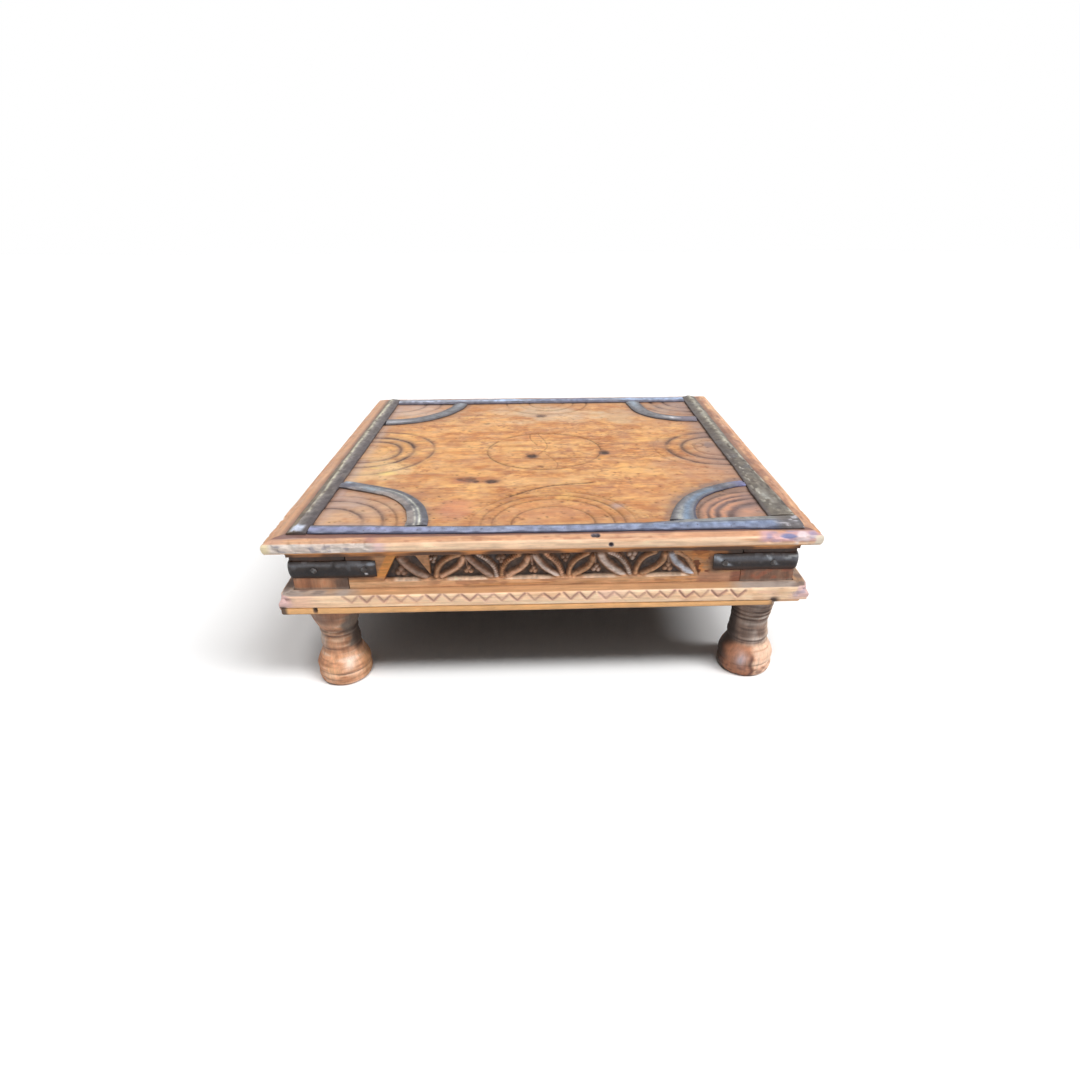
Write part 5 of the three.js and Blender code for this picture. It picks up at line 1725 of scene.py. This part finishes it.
def corner_stations(sx, sy):
    """Along one face, round the post's corner and along the next: place, facing, and run from the corner"""
    edge = HALF - FRIEZE_INSET - POST_ROUND
    runs = np.append(np.arange(0, CORNER_REACH - POST_ROUND, 1.5), CORNER_REACH - POST_ROUND)
    stations = [(sx * (edge - run), sy * edge, 0.0, sy, run) for run in runs[::-1]]
    for angle in np.radians(np.arange(10, 90, 10)):
        stations.append((sx * edge, sy * edge, sx * math.sin(angle), sy * math.cos(angle), 0.0))
    stations += [(sx * edge, sy * (edge - run), sx, 0.0, run) for run in runs]
    return np.array(stations)


def corner_strap_rings(stations, seed):
    """A strap with a soft swell, and how far across and along it each point is"""
    v = np.concatenate([np.linspace(-1, -0.86, 5), np.linspace(-0.78, 0.78, 19), np.linspace(0.86, 1, 5)])
    x, y, facing_x, facing_y, run = stations.T[..., None]
    length = np.arange(len(stations))[:, None] * 1.5
    end = rise(run, CORNER_REACH - 9, CORNER_REACH - 2.5)
    swell = np.clip(1 - np.abs(v) ** 2.2, 0, 1) ** 0.6
    place = flat(length, 9 * v)
    hammer = 0.3 * noise(place, (14, 6, 1), seed) + 0.12 * noise(place, (4, 3, 1), seed + 1) - 0.25
    bulge = np.clip(STRAP_BULGE * swell * (1 - 0.4 * end) + hammer * swell, 0.2, STRAP_BULGE)
    wave = 0.5 * noise(flat(length, 0.0), (20, 1, 1), seed + 2)
    z = STRAP_MIDDLE + v * (STRAP_HALF - 0.6 - 0.8 * end) + wave * np.abs(v)
    away = np.pad(bulge, ((0, 0), (1, 1))) + POST_ROUND + SEAT
    z = np.pad(z, ((0, 0), (1, 1)), mode="edge")
    rings = stack(x + facing_x * away, y + facing_y * away, z)
    across, along_strap = np.broadcast_arrays(np.pad(v, 1, mode="edge"), run)
    return rings, across.ravel(), along_strap.ravel()


def paint_corner_strap(paint, corner, v, run, seed):
    p = paint.points
    blot = fractal(p, 16, seed + 3)
    scuff_and_highlight = rise(noise(p, (6, 6, 5), seed + 4), 0.25, 0.6)
    # Painted light on the rounded strap: a highlight band near the top edge and painted shade over the lower
    # half. The pale scuffs on the upper part are partly worn bright and partly a painted highlight.
    paint.coats(
        ((40, 36, 36), 0.7, (-blot, 0.0, 0.8)),
        ((96, 80, 72), 0.45, (blot, 0.2, 0.9)),
        ((120, 122, 128), 0.75, bump(v, 0.58, 0.22), (blot, -0.9, 0.1)),
        ((44, 42, 45), 0.6, (v, 0.2, -0.3)),
        ((140, 144, 152), 0.35, scuff_and_highlight, (v, -0.4, 0.3)),
        ((92, 70, 58), 0.5, bump(v, -0.9, 0.2)),
    )
    if corner == "front_left":
        # A painted highlight on the raised end, and a white painted glint below the nail
        paint.coats(
            ((160, 168, 180), 0.8, (oval(run, v, 86, 0.62, 5, 0.24), 1.1, 0.5)),
            ((226, 226, 230), 0.9, (oval(run, v, 80, -0.5, 1.8, 0.14), 1.1, 0.6)),
        )
    if corner == "front_right":
        rubbed_and_lit = span(v, -0.5, -0.2, 0.7, 0.9)
        grit = noise(p, (4, 4, 3), seed + 5)
        # Darker towards the lower edge, a faint painted highlight band, and pale scratches and a pale top
        # corner, partly worn bright and partly painted highlight
        paint.coats(
            ((82, 64, 58), 0.6, (v, -0.3, -0.7)),
            ((108, 112, 122), 0.6, bump(v, 0.35, 0.25)),
            ((178, 188, 200), 0.85, bump(run - 15 * v, 78, 4.0), rubbed_and_lit, (grit, -0.7, 0.0)),
            ((180, 188, 196), 0.8, bump(run - 10 * v, 23.6, 2.6), rubbed_and_lit, (grit, -0.7, 0.0)),
            ((190, 194, 196), 0.7, (run, 16, 8), (v, 0.2, 0.5), (grit, -0.2, 0.4)),
        )


def make_corner_straps():
    for corner, (sx, sy, _) in CORNERS.items():
        seed = 181 + sx + 2 * sy
        rings, v, run = corner_strap_rings(corner_stations(sx, sy), seed)
        paint = Paint(rings, (66, 60, 59))
        paint_corner_strap(paint, corner, v, run, seed)
        make_piece("corner_strap_" + corner, rings, DARK_IRON, paint, 50.0)


NAIL_PLACES = [27.0, 81.2]
NAIL_POINTS = 28
# A nail from the middle of its head to its tip: radius, and depth behind the strap's face
NAIL_SHAPE = [(0.4, -1.3), (1.4, -1.2), (2.4, -0.95), (3.1, -0.55), (3.4, -0.15), (3.3, 0.0), (1.5, 0.05),
              (1.5, 6.0), (1.5, 15.0), (0.2, 21.0)]
# The first of these places, as many as this, are the head, which is a little uneven.
NAIL_HEAD = 6


def nail_rings(x, seed):
    seat = FRIEZE_INSET - HALF - SEAT - STRAP_BULGE - SEAT
    angles = whole_turn(NAIL_POINTS)
    radius, depth = np.array(NAIL_SHAPE).T[..., None]
    dx, dz = radius * np.cos(angles), radius * np.sin(angles)
    rings = stack(x + dx, seat + depth, STRAP_MIDDLE + dz)
    wobble = 1 + 0.15 * noise(rings, 3.0, seed)
    wobble[NAIL_HEAD:] = 1
    return stack(x + dx * wobble, seat + depth, STRAP_MIDDLE + dz * wobble)


def make_nails():
    for corner, (_, _, meets) in CORNERS.items():
        for side, end in meets:
            for n, place in enumerate(NAIL_PLACES, 1):
                rings = turned(nail_rings(end * (HALF - FRIEZE_INSET - place), 191 + n), side)
                paint = Paint(rings, (112, 112, 114))
                paint.coats(((66, 60, 58), 0.7, (noise(paint.points, 2.5, 192), -0.3, 0.4)))
                make_piece("nail_%s_%s_%d" % (corner, side, n), rings, NAIL_IRON, paint, 45.0)


# Floor, light and camera

FLOOR_HALF = 8.0
# White to the camera, and a little darker to the light that it throws back
FLOOR_BOUNCE = 0.84


def make_floor():
    s = Shader("floor_white")
    seen = s.add("ShaderNodeLightPath").outputs["Is Camera Ray"]
    diffuse = s.add("ShaderNodeBsdfDiffuse", {"Color": s.spread(seen, 0.0, 1.0, FLOOR_BOUNCE, 1.0)})
    s.put(diffuse.outputs["BSDF"], s.tree.nodes["Material Output"].inputs["Surface"])
    mesh = bpy.data.meshes.new("floor")
    corners = [(x * FLOOR_HALF, y * FLOOR_HALF, 0) for x, y in ((-1, -1), (1, -1), (1, 1), (-1, 1))]
    mesh.from_pydata(corners, [], [(0, 1, 2, 3)])
    add_object("floor", mesh, s.material)


# The sky's strength at the horizon and overhead, and the height where it starts to rise
HORIZON_LEVEL = 0.03
ZENITH_LEVEL = 0.40
SKY_EDGE = 0.3
# The lamps: name, strength, how wide the source looks in degrees, and where it stands
LAMPS = [
    ("front_key", 1.05, 14.0, (0.02, -0.415, 0.905)),
    ("right_key_high", 0.7, 15.0, (0.34, -0.355, 0.87)),
    ("right_key_middle", 0.8, 15.0, (0.50, -0.325, 0.80)),
    ("right_key_low", 0.95, 16.0, (0.68, -0.28, 0.68)),
]


def make_sky():
    world = bpy.data.worlds.new("studio")
    bpy.context.scene.world = world
    world.use_nodes = True
    world.node_tree.nodes.clear()
    g = Graph(world.node_tree)
    ray = g.add("ShaderNodeLightPath").outputs
    seen = g.maths("MAXIMUM", ray["Is Camera Ray"], ray["Is Glossy Ray"], ray["Is Transmission Ray"])
    # The unseen sky is a soft light overhead that fades towards the horizon.
    around = g.add("ShaderNodeTexCoord").outputs["Generated"]
    height = g.add("ShaderNodeSeparateXYZ", {0: around}).outputs["Z"]
    fade = g.spread(height, SKY_EDGE, 1.0, HORIZON_LEVEL, ZENITH_LEVEL, interpolation_type="SMOOTHERSTEP")
    white = (1, 1, 1, 1)
    soft = g.add("ShaderNodeBackground", {"Color": white, "Strength": fade}).outputs[0]
    plain = g.add("ShaderNodeBackground", {"Color": white, "Strength": 1.0}).outputs[0]
    both = g.add("ShaderNodeMixShader", {0: seen, 1: soft, 2: plain}).outputs[0]
    g.add("ShaderNodeOutputWorld", {"Surface": both})


def make_lamps():
    for name, strength, spread, towards in LAMPS:
        lamp = bpy.data.lights.new(name, "SUN")
        lamp.energy = strength
        lamp.angle = math.radians(spread)
        sun = bpy.data.objects.new(name, lamp)
        sun.rotation_euler = Vector(towards).to_track_quat("Z", "Y").to_euler()
        bpy.context.scene.collection.objects.link(sun)


# The photograph's viewpoint, in an image of 1080 by 1080
IMAGE = 1080.0
FOCAL = 686.73
PRINCIPAL = (567.64, 551.28)
CAMERA_AT = (1.09, -954.94, 518.07)
YAW = 1.953
PITCH = 26.780
ROLL = 0.164


def make_camera():
    yaw, pitch, roll = (math.radians(a) for a in (YAW, PITCH, ROLL))
    forward = Vector((math.sin(yaw) * math.cos(pitch), math.cos(yaw) * math.cos(pitch), -math.sin(pitch)))
    level = Vector((math.cos(yaw), -math.sin(yaw), 0))
    down = forward.cross(level)
    right = level * math.cos(roll) + down * math.sin(roll)
    lower = down * math.cos(roll) - level * math.sin(roll)
    camera = bpy.data.cameras.new("camera")
    camera.sensor_width = 36.0
    camera.lens = FOCAL / IMAGE * camera.sensor_width
    camera.shift_x = (IMAGE / 2 - PRINCIPAL[0]) / IMAGE
    camera.shift_y = (PRINCIPAL[1] - IMAGE / 2) / IMAGE
    camera.clip_start = 0.01
    camera.clip_end = 50.0
    seat = bpy.data.objects.new("camera", camera)
    turn = Matrix((right, -lower, -forward)).transposed()
    seat.matrix_world = Matrix.Translation(Vector(CAMERA_AT) * MM) @ turn.to_4x4()
    bpy.context.scene.collection.objects.link(seat)
    bpy.context.scene.camera = seat


make_camera()
make_sky()
make_lamps()
make_floor()
make_planks()
make_frame()
make_base()
make_rails()
make_legs()
make_edge_straps()
make_arcs()
make_corner_straps()
make_nails()
for name in ("batten_left", "batten_right"):
    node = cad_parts[name]
    node.data.materials.clear()
    node.data.materials.append(INNER_WOOD)

bpy.context.scene.view_settings.view_transform = "Standard"
bpy.context.view_layer.update()
